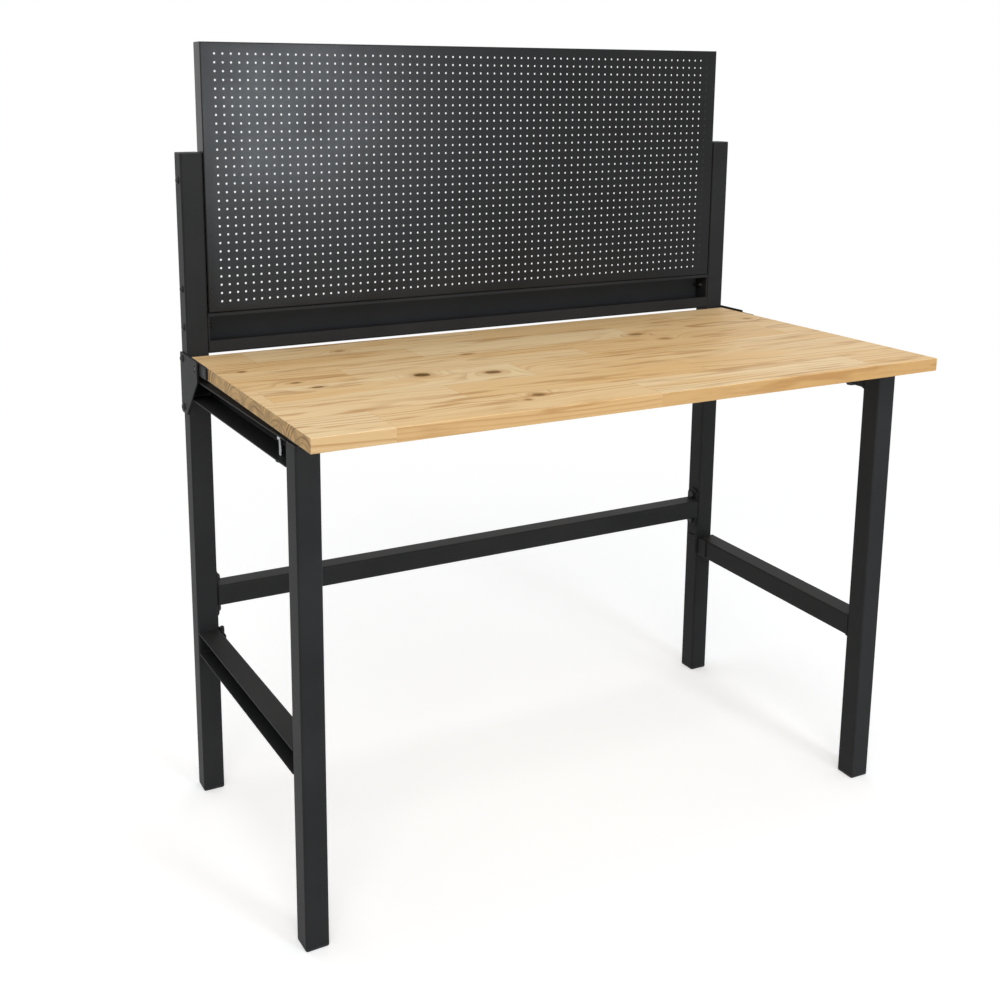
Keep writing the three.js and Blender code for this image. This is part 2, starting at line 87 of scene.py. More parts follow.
# Sizes that the nodes' boxes don't give
EASED = 0.0004  # edge of cut steel under its coat
EASED_MIDDLE = 0.3  # of an eased edge, by which its middle lies in from both faces
FIT = 0.0003  # play between pieces that slide or turn
ROUND_END = 0.999  # radius of a round end, as a share of half its width

# Threads, in shares of the shank's diameter
THREAD_PITCH = 0.16
THREAD_ROOT = 0.91
SHANK_TIP = 0.80

# Weld beads: rings to a ripple, then shares of the bead's radius
RIPPLE_RINGS = 3
RIPPLE_DEPTH = 0.16
BEAD_TIP = 0.35

Bolt = namedtuple("Bolt", "shank head height")
HEX_BOLT = Bolt(0.008, 0.013, 0.0055)
LOW_BOLT = Bolt(0.008, 0.014, 0.003)
PANEL_BOLT = Bolt(0.006, 0.012, 0.0035)

# Knots in the board's top: their places, half their lengths and widths, and their darkness
Knot = namedtuple("Knot", "x y half_length half_width dark")
KNOTS = (
    Knot(-0.288, -0.036, 0.0150, 0.0125, 0.95),
    Knot(-0.171, -0.070, 0.0155, 0.0105, 0.82),
    Knot(-0.184, -0.242, 0.0115, 0.0092, 0.68),
    Knot(-0.215, -0.263, 0.0062, 0.0050, 0.50),
    Knot(-0.476, -0.042, 0.0105, 0.0052, 0.78),
    Knot(-0.498, 0.002, 0.0095, 0.0043, 0.72),
    Knot(-0.339, 0.208, 0.0090, 0.0065, 0.35),
    Knot(0.243, 0.102, 0.0155, 0.0085, 0.62),
    Knot(0.269, 0.042, 0.0120, 0.0080, 0.36),
    Knot(0.554, 0.143, 0.0090, 0.0070, 0.40),
    Knot(-0.552, 0.119, 0.0072, 0.0047, 0.75),
    Knot(-0.142, 0.081, 0.0120, 0.0050, 0.40),
)

Lamp = namedtuple("Lamp", "name place aim size colour")
WARM_WHITE = (1.0, 0.985, 0.96)
COOL_WHITE = (0.86, 0.93, 1.0)
SKY_WHITE = (0.97, 0.985, 1.0)
KEY_LAMP = Lamp("Key lamp", (-1.5, -2.8, 3.7), (0.0, 0.0, 0.6), 2.8, WARM_WHITE)
OVERHEAD_LAMP = Lamp("Overhead lamp", (0.0, 0.75, 3.3), (0.0, 0.75, 0.0), 2.6, WARM_WHITE)
FRONT_LAMP = Lamp("Front lamp", (0.70, -3.0, 1.295), (-0.43, 0.28, 1.31), 0.7, COOL_WHITE)

COLOUR = {"subtype": "COLOR", "min": 0, "max": 1}
SHARE = {"subtype": "FACTOR", "min": 0, "max": 1}


class SteelSettings(bpy.types.PropertyGroup):
    coat: FloatVectorProperty(
        name="Coat", description="Colour of the powder coat", default=(0.0206, 0.0208, 0.0214), **COLOUR)
    coat_gloss: FloatProperty(
        name="Coat gloss", description="Specular level of the powder coat", default=0.075, **SHARE)
    coat_roughness: FloatProperty(
        name="Coat roughness", description="Mean roughness of the powder coat", default=0.48, **SHARE)
    # The panel's coat: smoother than the tubes' coat, and darker than it as painted shade
    panel_coat: FloatVectorProperty(
        name="Panel coat", description="Colour of the smoother coat on the panel",
        default=(0.0075, 0.0077, 0.0082), **COLOUR)
    panel_gloss: FloatProperty(
        name="Panel gloss", description="Specular level of the coat on the panel", default=0.20, **SHARE)
    panel_roughness: FloatProperty(
        name="Panel roughness", description="Mean roughness of the coat on the panel", default=0.30, **SHARE)
    tube_corner: FloatProperty(
        name="Tube corner", description="Outside radius of the tube's corners", default=0.004, unit="LENGTH")
    tube_wall: FloatProperty(
        name="Tube wall", description="Wall of the square tube", default=0.002, unit="LENGTH")
    sheet: FloatProperty(
        name="Sheet", description="Thickness of the folded channels", default=0.002, unit="LENGTH")
    bend: FloatProperty(
        name="Bend", description="Inside radius of the folds", default=0.0015, unit="LENGTH")
    weld: FloatProperty(
        name="Weld", description="Radius of the weld beads", default=0.0022, unit="LENGTH")
    ripple: FloatProperty(
        name="Weld ripple", description="Distance between a weld's ripples", default=0.0024, unit="LENGTH")


class PanelSettings(bpy.types.PropertyGroup):
    pitch: FloatProperty(
        name="Hole pitch", description="Distance between the holes' centres", default=0.015, unit="LENGTH")
    diameter: FloatProperty(
        name="Hole diameter", description="Diameter of the holes", default=0.004, unit="LENGTH")
    margin: FloatProperty(
        name="Margin", description="Least distance from edge to hole centre", default=0.020, unit="LENGTH")
    sheet: FloatProperty(
        name="Sheet", description="Thickness of the panel", default=0.0015, unit="LENGTH")
    hole_sides: IntProperty(
        name="Hole sides", description="Sides of each hole, in fours", default=12, min=4, step=4)


class WoodSettings(bpy.types.PropertyGroup):
    pale: FloatVectorProperty(
        name="Pale", description="Colour of the palest staves", default=(0.80, 0.60, 0.345), **COLOUR)
    warm: FloatVectorProperty(
        name="Warm", description="Colour of the warmest staves", default=(0.72, 0.455, 0.195), **COLOUR)
    late: FloatVectorProperty(
        name="Late wood", description="Colour of the growth lines", default=(0.43, 0.215, 0.068), **COLOUR)
    knot: FloatVectorProperty(
        name="Knot", description="Colour of the knots", default=(0.120, 0.062, 0.008), **COLOUR)
    end: FloatVectorProperty(
        name="End grain", description="Colour of the board's ends", default=(0.50, 0.315, 0.125), **COLOUR)
    # The board's front and back edges: the side grain's own tone, made paler as painted front light
    edge_grain_and_light_pale: FloatVectorProperty(
        name="Pale edge", description="Colour of the front edge at its palest stave",
        default=(0.80, 0.555, 0.275), **COLOUR)
    edge_grain_and_light_warm: FloatVectorProperty(
        name="Warm edge", description="Colour of the front edge at its warmest stave",
        default=(0.65, 0.385, 0.142), **COLOUR)
    stave_width: FloatProperty(
        name="Stave width", description="Width of a stave", default=0.1, unit="LENGTH")
    stave_length: FloatProperty(
        name="Stave length", description="Length of a stave between its joints", default=0.46, unit="LENGTH")
    ring: FloatProperty(
        name="Growth ring", description="Distance between growth rings", default=0.0085, unit="LENGTH")


class StageSettings(bpy.types.PropertyGroup):
    floor: FloatVectorProperty(
        name="Floor", description="Colour of the floor", default=(0.86, 0.86, 0.86), **COLOUR)
    floor_glow: FloatProperty(
        name="Floor glow", description="White that the camera sees on the floor besides its light",
        default=0.34, **SHARE)
    ambient: FloatProperty(
        name="Ambient", description="Light from all round", default=0.52, **SHARE)
    key: FloatProperty(
        name="Key", description="Lamp in front, above and to the left", default=64, unit="POWER")
    overhead: FloatProperty(
        name="Overhead", description="Lamp above the back panel", default=26, unit="POWER")
    front: FloatProperty(
        name="Front", description="Lamp in front, to the right", default=36, unit="POWER")
    lens: FloatProperty(
        name="Lens", description="Focal length of the camera", default=45.039, unit="CAMERA")
    camera_place: FloatVectorProperty(
        name="Camera place", description="Where the camera stands", subtype="TRANSLATION",
        default=(-1.17353, -1.88005, 1.32))
    camera_turn: FloatVectorProperty(
        name="Camera turn", description="How the camera is turned", subtype="EULER",
        default=(math.radians(78.7912), math.radians(-0.0681), math.radians(-26.5909)))
    camera_shift: FloatVectorProperty(
        name="Camera shift", description="Shift of the lens, in shares of the picture", size=2,
        default=(0.05774, -0.16))


# Outlines

def rounded(corners, radius, steps=CORNER_STEPS, closed=True):
    """Points along a run of corners, each one turned into an arc. An open run keeps its two ends."""
    points = [Vector(corner) for corner in corners]
    out = []
    for k, corner in enumerate(points):
        if not closed and k in (0, len(points) - 1):
            out.append(corner)
            continue
        back = (points[k - 1] - corner).normalized()
        ahead = (points[(k + 1) % len(points)] - corner).normalized()
        half = back.angle(ahead) / 2
        centre = corner + (back + ahead).normalized() * (radius / math.sin(half))
        start = corner + back * (radius / math.tan(half)) - centre
        sweep = math.pi - 2 * half
        turn = math.copysign(sweep, back.y * ahead.x - back.x * ahead.y)
        out += [centre + Matrix.Rotation(turn * s / steps, 2) @ start for s in range(steps + 1)]
    return out


def rectangle(low, high):
    return [Vector(low), Vector((high[0], low[1])), Vector(high), Vector((low[0], high[1]))]


def circle(centre, across, sides=ROUND, start=0.0):
    turns = [2 * math.pi * (k / sides + start) for k in range(sides)]
    return [Vector(centre) + Vector((math.cos(t), math.sin(t))) * (across / 2) for t in turns]


def hexagon(centre, across, sides=HEX_ROUND):
    """A hexagon drawn with as many points as a circle, so that a skin can run from one to the other."""
    sector = math.pi / 3
    out = []
    for k in range(sides):
        turn = 2 * math.pi * k / sides
        reach = across / 2 / math.cos(turn % sector - sector / 2)
        out.append(Vector(centre) + Vector((math.cos(turn), math.sin(turn))) * reach)
    return out


def inset(outline, amount):
    """The outline moved inwards by an amount, for an outline that runs anticlockwise."""
    count = len(outline)
    out = []
    for k, point in enumerate(outline):
        before = (point - outline[k - 1]).normalized()
        after = (outline[(k + 1) % count] - point).normalized()
        first, second = Vector((-before.y, before.x)), Vector((-after.y, after.x))
        out.append(point + (first + second) * (amount / (1 + first.dot(second))))
    return out


def folded(corners, steel):
    """The section of a folded sheet, from its outer corners, which all bend to the left."""
    points = [Vector(corner) for corner in corners]
    inside = []
    for k, point in enumerate(points):
        ways = []
        if k > 0:
            ways.append((point - points[k - 1]).normalized())
        if k < len(points) - 1:
            ways.append((points[k + 1] - point).normalized())
        inside.append(point + sum((Vector((-w.y, w.x)) for w in ways), Vector((0, 0))) * steel.sheet)
    outer = rounded(points, steel.bend + steel.sheet, BEND_STEPS, closed=False)
    return outer + rounded(inside, steel.bend, BEND_STEPS, closed=False)[::-1]


# Skins over outlines

def stand(outline, axis, height):
    """An outline set square to an axis at a height along it."""
    at = "xyz".index(axis)
    return [Vector((*point[:at], height, *point[at:])) for point in outline]


def layers(outline, axis, steps):
    """An outline stood along an axis, once for each height and inset."""
    return [stand(inset(outline, amount), axis, height) for height, amount in steps]


def bridge(bm, near, far):
    """Faces between two loops of equally many vertices."""
    after = [(k + 1) % len(near) for k in range(len(near))]
    return [bm.faces.new((near[k], near[n], far[n], far[k])) for k, n in enumerate(after)]


def shell(bm, rings):
    """Loops of vertices on rings of equally many points, and the faces between one and the next."""
    loops = [[bm.verts.new(point) for point in ring] for ring in rings]
    faces = [face for near, far in zip(loops, loops[1:]) for face in bridge(bm, near, far)]
    return loops, faces


def skin(bm, rings, joined=False, material=0):
    """A closed shell: its end rings are filled, or joined to each other."""
    loops, faces = shell(bm, rings)
    if joined:
        faces += bridge(bm, loops[-1], loops[0])
    else:
        faces += [bm.faces.new(loops[0][::-1]), bm.faces.new(loops[-1])]
    for face in faces:
        face.material_index = material


def prism(bm, outline, axis, low, high, edge=EASED):
    """An outline pulled along an axis, with its two end edges eased."""
    soft = edge * EASED_MIDDLE
    steps = [(low, edge), (low + soft, soft), (low + edge, 0)]
    steps += [(high - edge, 0), (high - soft, soft), (high, edge)]
    skin(bm, layers(outline, axis, steps))


def hollow(bm, outline, bore, axis, low, high):
    """A tube between an outline and a bore of equally many points."""
    outside = layers(outline, axis, ((low, EASED), (low + EASED, 0), (high - EASED, 0), (high, EASED)))
    skin(bm, outside + [stand(bore, axis, height) for height in (high, low)], joined=True)


def square_tube(bm, low, high, axis, start, end, steel):
    """A square tube along an axis, between two corners of its section."""
    outside = rectangle(low, high)
    bore = rounded(inset(outside, steel.tube_wall), steel.tube_corner - steel.tube_wall)
    hollow(bm, rounded(outside, steel.tube_corner), bore, axis, start, end)


def lathe(bm, axis, centre, profile, sides=ROUND):
    """A round solid, from the heights and diameters of its profile."""
    skin(bm, [stand(circle(centre, across, sides), axis, height) for height, across in profile])


def wrought(bm, axis, centre, profile, joined=False, material=0):
    """A solid that is round in places and hexagonal in others: shape, width and height along its profile."""
    rings = [stand(shape(centre, across, HEX_ROUND), axis, height) for shape, across, height in profile]
    skin(bm, rings, joined, material)


def bead(bm, path, radius, ripple):
    """A weld along a path of points: a round bead with ripples and tapered ends."""
    spans = [(b - a).length for a, b in zip(path, path[1:])]
    total = sum(spans)
    count = max(2 * RIPPLE_RINGS, int(total / ripple * RIPPLE_RINGS))
    turns = [2 * math.pi * s / BEAD_SIDES for s in range(BEAD_SIDES)]
    rings = []
    for k in range(count + 1):
        way = total * k / count
        rest, leg = way, 0
        while leg < len(spans) - 1 and rest > spans[leg]:
            rest -= spans[leg]
            leg += 1
        along = (path[leg + 1] - path[leg]).normalized()
        centre = path[leg] + along * rest
        side = along.orthogonal().normalized()
        up = along.cross(side)
        swell = 1 - RIPPLE_DEPTH + RIPPLE_DEPTH * abs(math.sin(math.pi * way / ripple))
        taper = min(1, BEAD_TIP + min(way, total - way) / radius / 2)
        reach = radius * swell * taper
        rings.append([centre + side * (reach * math.cos(t)) + up * (reach * math.sin(t)) for t in turns])
    skin(bm, rings)


# Bolt heads from the seat up: shape, share of the head's width, share of its height
HEADS = {
    "hexagon": ((hexagon, 0.97, 0), (hexagon, 1, 0.08), (hexagon, 1, 0.78), (circle, 0.95, 1),
                (circle, 0.80, 1), (circle, 0.74, 0.912)),
    "dome": ((circle, 0.97, 0), (circle, 1, 0.1), (circle, 0.98, 0.42), (circle, 0.88, 0.75),
             (circle, 0.70, 0.94), (circle, 0.56, 1), (hexagon, 0.42, 1), (hexagon, 0.40, 0.35)),
}


def head(bm, axis, centre, seat, way, bolt, shape, material=0):
    """A bolt head on its seat, standing towards `way`: a chamfered hexagon or a low dome with a socket."""
    rise = way * bolt.height
    profile = [(form, bolt.head * width, seat + rise * share) for form, width, share in HEADS[shape]]
    wrought(bm, axis, centre, profile, material=material)


def shank(bm, axis, centre, low, high, diameter):
    """A threaded shank with chamfered ends: rings that swell and narrow as the thread does."""
    count = max(2, int((high - low) / (diameter * THREAD_PITCH)))
    turn = (high - low) / count
    profile = [(low, diameter * SHANK_TIP)]
    for k in range(count):
        root = low + turn * (k + 0.25)
        profile += [(root, diameter * THREAD_ROOT), (root + turn / 2, diameter)]
    profile.append((high, diameter * SHANK_TIP))
    lathe(bm, axis, centre, profile, SMALL_ROUND)


# Finishes

MIX_COLOURS = slice(6, 8)  # the colour inputs among all those of a Mix node
MIX_COLOUR = 2  # the colour output


class Field:
    """A value that changes over a surface: a node's output that can be calculated with."""

    def __init__(self, nodes, socket):
        self.nodes = nodes
        self.socket = socket

    def __add__(self, other):
        return self.nodes.math("ADD", self, other)

    def __sub__(self, other):
        return self.nodes.math("SUBTRACT", self, other)

    def __mul__(self, other):
        return self.nodes.math("MULTIPLY", self, other)

    def __truediv__(self, other):
        return self.nodes.math("DIVIDE", self, other)

    def __rtruediv__(self, other):
        return self.nodes.math("DIVIDE", other, self)

    def __abs__(self):
        return self.nodes.math("ABSOLUTE", self)

    def root(self):
        return self.nodes.math("SQRT", self)

    def floor(self):
        return self.nodes.math("FLOOR", self)

    def fract(self):
        return self.nodes.math("FRACT", self)

    __radd__ = __add__
    __rmul__ = __mul__


class Nodes:
    """The node tree of a material or of the surroundings, added to one call at a time."""

    def __init__(self, tree):
        self.tree = tree

    def add(self, kind, settings=None, **inputs):
        node = self.tree.nodes.new(kind)
        for key, value in (settings or {}).items():
            setattr(node, key, value)
        for key, value in inputs.items():
            self.feed(node.inputs[key], value)
        return node

    def feed(self, socket, value):
        if isinstance(value, Field):
            self.tree.links.new(value.socket, socket)
        else:
            socket.default_value = value

    def value(self, kind, output, settings=None, **inputs):
        return Field(self, self.add(kind, settings, **inputs).outputs[output])

    def math(self, operation, *values):
        node = self.add("ShaderNodeMath", {"operation": operation})
        for socket, value in zip(node.inputs, values):
            self.feed(socket, value)
        return Field(self, node.outputs[0])

    def mix(self, factor, first, second):
        """One colour turning into another with a factor."""
        node = self.add("ShaderNodeMix", {"data_type": "RGBA"})
        self.feed(node.inputs[0], factor)
        for socket, colour in zip(node.inputs[MIX_COLOURS], (first, second)):
            self.feed(socket, colour if isinstance(colour, Field) else (*colour, 1))
        return Field(self, node.outputs[MIX_COLOUR])

    def spread(self, value, low, high, to_low=0.0, to_high=1.0, smooth=False):
        """A value between two limits brought to between two others."""
        kind = "SMOOTHSTEP" if smooth else "LINEAR"
        node = self.add("ShaderNodeMapRange", {"interpolation_type": kind})
        for socket, number in zip(node.inputs, (value, low, high, to_low, to_high)):
            self.feed(socket, number)
        return Field(self, node.outputs[0])

    def place(self):
        return self.value("ShaderNodeTexCoord", "Object")

    def parts(self, vector):
        return [Field(self, socket) for socket in self.add("ShaderNodeSeparateXYZ", Vector=vector).outputs]

    def join(self, x, y, z):
        return self.value("ShaderNodeCombineXYZ", "Vector", X=x, Y=y, Z=z)

    def noise(self, vector, scale, detail=2.0, roughness=0.5):
        inputs = {"Vector": vector, "Scale": scale, "Detail": detail, "Roughness": roughness}
        return self.value("ShaderNodeTexNoise", "Fac", **inputs)

    def chance(self, vector, output="Value"):
        return self.value("ShaderNodeTexWhiteNoise", output, {"noise_dimensions": "3D"}, Vector=vector)

    def seen(self):
        """1 for rays from the camera, mirrors and glass, and 0 for the light that falls on the object."""
        path = self.add("ShaderNodeLightPath").outputs
        rays = [Field(self, path[f"Is {kind} Ray"]) for kind in ("Camera", "Glossy", "Transmission")]
        return self.math("MAXIMUM", self.math("MAXIMUM", *rays[:2]), rays[2])

    def blend(self, factor, first, second, output):
        """Sends a shader to the output, turning into another one with a factor."""
        node = self.add("ShaderNodeMixShader", Fac=factor)
        for socket, shader in zip(node.inputs[1:], (first, second)):
            self.tree.links.new(shader.outputs[0], socket)
        self.tree.links.new(node.outputs[0], self.tree.nodes[output].inputs["Surface"])


class Finish(Nodes):
    """A material, with the shader that its nodes feed."""

    def __init__(self, name):
        self.material = bpy.data.materials.new(name)
        self.material.use_nodes = True
        super().__init__(self.material.node_tree)
        self.shader = self.tree.nodes["Principled BSDF"]

    def set(self, name, value):
        self.feed(self.shader.inputs[name], value)

    def bump(self, height, strength, distance):
        inputs = {"Height": height, "Strength": strength, "Distance": distance}
        self.set("Normal", self.value("ShaderNodeBump", "Normal", **inputs))


def toned(colour, amount):
    return tuple(min(1, part * amount) for part in colour)


def powder_coat(name, coat, gloss_level, roughness):
    """Satin black powder coat: orange peel, a fine speckle and slow changes of gloss."""
    finish = Finish(name)
    place = finish.place()
    slow = finish.noise(place, 7, 3)
    peel = finish.noise(place, 420, 2, 0.6)
    speck = finish.noise(place, 1900, 1)
    tone = finish.mix(finish.spread(slow, 0.3, 0.7), toned(coat, 0.85), toned(coat, 1.2))
    finish.set("Base Color", finish.mix(finish.spread(speck, 0.62, 0.8, 0, 0.5), tone, toned(coat, 2.2)))
    gloss = finish.spread(slow, 0.3, 0.7, roughness - 0.04, roughness + 0.04)
    finish.set("Roughness", gloss + finish.spread(peel, 0.3, 0.7, -0.03, 0.03))
    finish.set("Specular IOR Level", gloss_level)
    finish.bump(peel + speck * 0.5, 0.10, 0.0002)
    return finish.material


def moulded_plastic(name):
    """Black plastic with the fine grain of its mould."""
    finish = Finish(name)
    place = finish.place()
    grain = finish.noise(place, 1400, 2, 0.6)
    slow = finish.noise(place, 45, 2)
    finish.set("Base Color", finish.mix(slow, (0.009, 0.009, 0.010), (0.015, 0.015, 0.016)))
    finish.set("Roughness", finish.spread(grain, 0.3, 0.7, 0.48, 0.62))
    finish.set("Specular IOR Level", 0.3)
    finish.bump(grain, 0.15, 0.0002)
    return finish.material


def blackened_steel(name):
    """Bolts blackened with oil: a little sheen, worn a shade lighter in places."""
    finish = Finish(name)
    place = finish.place()
    cloud = finish.noise(place, 160, 4, 0.65)
    fine = finish.noise(place, 2600, 1)
    worn = finish.spread(cloud, 0.35, 0.75)
    finish.set("Base Color", finish.mix(worn, (0.010, 0.010, 0.011), (0.030, 0.029, 0.029)))
    finish.set("Metallic", 0.35)
    finish.set("Roughness", finish.spread(cloud, 0.3, 0.7, 0.34, 0.5))
    finish.bump(fine, 0.08, 0.0001)
    return finish.material


def zinc_plate(name):
    """Bright zinc plating with a faint spangle and clouded gloss."""
    finish = Finish(name)
    place = finish.place()
    spangle = finish.value("ShaderNodeTexVoronoi", "Distance", Vector=place, Scale=520.0)
    dulled = finish.spread(spangle, 0.0, 0.7)
    cloud = finish.noise(place, 300, 3)
    finish.set("Base Color", finish.mix(dulled, (0.62, 0.63, 0.65), (0.44, 0.45, 0.48)))
    finish.set("Metallic", 1.0)
    finish.set("Roughness", finish.spread(cloud, 0.3, 0.7, 0.24, 0.40))
    finish.bump(cloud, 0.06, 0.0001)
    return finish.material


def pad_rubber(name):
    """Matt black rubber with a dusty bloom."""
    finish = Finish(name)
    place = finish.place()
    bloom = finish.spread(finish.noise(place, 90, 4, 0.6), 0.4, 0.8)
    grain = finish.noise(place, 1700, 2)
    finish.set("Base Color", finish.mix(bloom, (0.011, 0.011, 0.011), (0.022, 0.022, 0.021)))
    finish.set("Roughness", finish.spread(grain, 0.3, 0.7, 0.78, 0.92))
    finish.set("Specular IOR Level", 0.25)
    finish.bump(grain, 0.2, 0.0002)
    return finish.material


# Pine: where joints and tints start, and how they step from row to row and from stave to stave
FIRST_JOINT = 0.0109  # puts a joint of the front row 130 mm from the left end
JOINT_STEP = 0.618
FIRST_TINT = 0.15
ROW_TINT = 0.7549
STAVE_TINT = 0.5698
STAVE_SEED = 5.1
STAVE_LIFT = 41.0  # how far apart the rings' wandering lies in different staves
GLUE_LINE = (0.4945, 0.4985)  # from the middle of a stave, in widths
BUTT_LINE = (0.4985, 0.4996)  # from the middle of a stave, in lengths

# Pine: features to a metre along the grain and across it, or all ways
FIBRE = (9.0, 420.0)
FLECKS = (6.5, 58.0)
RING_WAVES = (2.1, 9.0)
STRONG_RINGS = (1.7, 16.0)
WARM_ZONES = (2.6, 17.0)
RAGGED_RIMS = 260
END_BLOTCHES = 42

# Pine: where a stave's pith lies, how far its rings wander and lean, and where late wood starts and ends
PITH_ACROSS = 0.10
PITH_GAP = 0.012
PITH_BELOW = 0.055
RING_WANDER = 0.050
RING_LEAN = 0.10
LATE_START = (0.42, 0.90)
LATE_END = (1.0, 0.93)

# Pine: rims and halos of knots in shares of their size, and how they bend the rings round them
KNOT_RIM = (1.15, 0.75)
KNOT_HALO = (2.4, 0.9)
KNOT_RAGGED = 0.55
KNOT_BEND = 1.7
BEND_REACH = (0.22, 0.30)
BEND_SOFT = 0.4

FACING = (0.5, 0.8)  # share of a normal at which a face starts to count as an edge, and counts fully


def pine_board(name, wood):
    """Glued pine: staves sawn from different logs, growth rings, fibre, knots, joints and end grain."""
    finish = Finish(name)
    low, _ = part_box("worktop_board")
    mix, spread, noise = finish.mix, finish.spread, finish.noise
    parts, join, chance = finish.parts, finish.join, finish.chance
    place = finish.place()
    x, y, z = parts(place)

    across = (y - low.y) / wood.stave_width
    row = across.floor()
    along = x / wood.stave_length + (row * JOINT_STEP + FIRST_JOINT).fract()
    stave = along.floor()
    tint = (row * ROW_TINT + (stave * STAVE_TINT + FIRST_TINT)).fract()
    stave_at = join(row, stave, STAVE_SEED)
    stave_chance = chance(stave_at)
    red, green, blue = parts(chance(stave_at, "Color"))

    def grain(features, detail=2.0, roughness=0.5, lift=0.0):
        """Noise drawn out along the grain, through the board's thickness too."""
        lengthwise, crosswise = features
        return noise(join(x * lengthwise, y * crosswise, z * crosswise + lift), 1.0, detail, roughness)

    def stave_grain(features):
        """Noise drawn out along the grain that starts afresh at each stave."""
        lengthwise, crosswise = features
        return noise(join(x * lengthwise, y * crosswise, stave_chance), 1.0)

    # Distance to the nearest knot in shares of its size, how dark knots are and how far they bend the rings
    nearest, core, bent = 2 * KNOT_HALO[0], 0.0, 0.0
    ragged = (noise(place, RAGGED_RIMS) - 0.5) * KNOT_RAGGED
    for knot in KNOTS:
        d_x = (x - knot.x) / knot.half_length
        d_y = (y - knot.y) / knot.half_width
        rim = (d_x * d_x + d_y * d_y).root() + ragged
        nearest = finish.math("MINIMUM", nearest, rim)
        core = finish.math("MAXIMUM", core, spread(rim, *KNOT_RIM, 0.0, knot.dark, smooth=True))
        wide_x, wide_y = d_x * BEND_REACH[0], d_y * BEND_REACH[1]
        bent = bent + knot.half_width * KNOT_BEND / (wide_x * wide_x + wide_y * wide_y + BEND_SOFT)

    # Growth rings round a pith that lies somewhere off each stave
    pith_y = (red - 0.5) * PITH_ACROSS + ((row + 0.5) * wood.stave_width + low.y)
    pith_z = green * -PITH_BELOW + (low.z - PITH_GAP)
    from_y = y - pith_y
    from_z = (z - pith_z) + (blue - 0.5) * RING_LEAN * x
    radius = (from_y * from_y + from_z * from_z).root()
    wander = (grain(RING_WAVES, lift=stave_chance * STAVE_LIFT) - 0.5) * RING_WANDER
    years = (radius + wander + bent) / wood.ring
    ring = years.fract()
    year_chance = chance(join(years.floor(), row, stave))
    late = spread(ring, *LATE_START, smooth=True) * spread(ring, *LATE_END)
    late = late * spread(year_chance, 0.2, 1.0, 0.12, 1.0)
    late = late * spread(stave_grain(STRONG_RINGS), 0.32, 0.62, 0.25, 1.0)

    # Colour of the staves and of the front edge, whose paleness is partly painted front light, then late wood,
    # short dark flecks and fibre
    fibre = grain(FIBRE, 3, 0.6)
    normal_x, normal_y, _ = parts(finish.value("ShaderNodeNewGeometry", "Normal"))
    base = mix(spread(tint, 0.1, 1.0, 0.0, 0.7), wood.pale, wood.warm)
    base = mix(spread(stave_grain(WARM_ZONES), 0.48, 0.70, 0.0, 0.75, smooth=True), base, wood.warm)
    # Front and back edges: the side grain's tone, paler towards the left end, its paleness partly painted front
    # light
    edge_grain_and_light_tone = mix(spread(stave, -2, 0), wood.edge_grain_and_light_pale, wood.edge_grain_and_light_warm)
    base = mix(spread(abs(normal_y), *FACING, 0.0, 0.8), base, edge_grain_and_light_tone)
    base = mix(late * 0.85, base, wood.late)
    base = mix(spread(grain(FLECKS), 0.55, 0.70, 0.0, 0.62, smooth=True), base, wood.late)
    base = mix(spread(fibre, 0.52, 0.8, 0.0, 0.25), base, wood.late)

    # End grain, then the glue lines between rows and the butt joints along them
    end = spread(abs(normal_x), *FACING)
    blotch = spread(noise(place, END_BLOTCHES, 3), 0.35, 0.65, smooth=True)
    end_tone = mix(blotch, toned(wood.end, 0.84), toned(wood.end, 1.24))
    base = mix(end, base, mix(spread(late, 0.0, 0.5), end_tone, toned(wood.late, 0.6)))
    glue = spread(abs(across.fract() - 0.5), *GLUE_LINE, smooth=True)
    butt = spread(abs(along.fract() - 0.5), *BUTT_LINE, smooth=True)
    seam = finish.math("MAXIMUM", glue, butt)
    base = mix(seam * spread(end, 0, 1, 0.35, 0.8), base, toned(wood.late, 0.8))

    # Knots over all of it, each in a halo of late wood
    base = mix(spread(nearest, *KNOT_HALO, 0.0, 0.5, smooth=True), base, wood.late)
    finish.set("Base Color", mix(core, base, wood.knot))
    finish.set("Roughness", spread(late, 0.0, 1.0, 0.55, 0.47))
    finish.set("Specular IOR Level", 0.22)
    finish.bump(fibre * 0.35 - seam * 0.9, 0.25, 0.0003)
    return finish.material


def finish_named(slot):
    """The material of a slot of the record, or the panel's own coat, darkened as painted shade, made once."""
    name = "Bench " + slot
    if name in bpy.data.materials:
        return bpy.data.materials[name]
    steel, wood = bpy.context.scene.bench_steel, bpy.context.scene.bench_wood
    makers = {
        "powder_coat": (powder_coat, steel.coat, steel.coat_gloss, steel.coat_roughness),
        "panel_coat": (powder_coat, steel.panel_coat, steel.panel_gloss, steel.panel_roughness),
        "black_plastic": (moulded_plastic,),
        "black_bolt": (blackened_steel,),
        "zinc": (zinc_plate,),
        "rubber": (pad_rubber,),
        "pine": (pine_board, wood),
    }
    make, *settings = makers[slot]
    return make(name, *settings)


# Pieces

def piece(name, bm, body, slot, finishes=None):
    """A finished mesh as an object that rides on a body, with its slot's finish or several named ones."""
    bmesh.ops.recalc_face_normals(bm, faces=bm.faces)
    mesh = bpy.data.meshes.new(name)
    bm.to_mesh(mesh)
    bm.free()
    mesh.polygons.foreach_set("use_smooth", [True] * len(mesh.polygons))
    mesh.set_sharp_from_angle(angle=SHARP_ANGLE)
    for finish in finishes or [slot]:
        mesh.materials.append(finish_named(finish))
    made = bpy.data.objects.new(name, mesh)
    bpy.context.scene.collection.objects.link(made)
    shading = made.modifiers.new("Flat faces stay flat", "WEIGHTED_NORMAL")
    shading.keep_sharp = True
    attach(made, body)
    return made


def stands_for(node, ending, bm, finishes=None):
    """A piece in the place of a node, with that node's body and slot."""
    made = piece(f"{node}_{ending}", bm, BODY[node], SLOT[node], finishes)
    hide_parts(node)


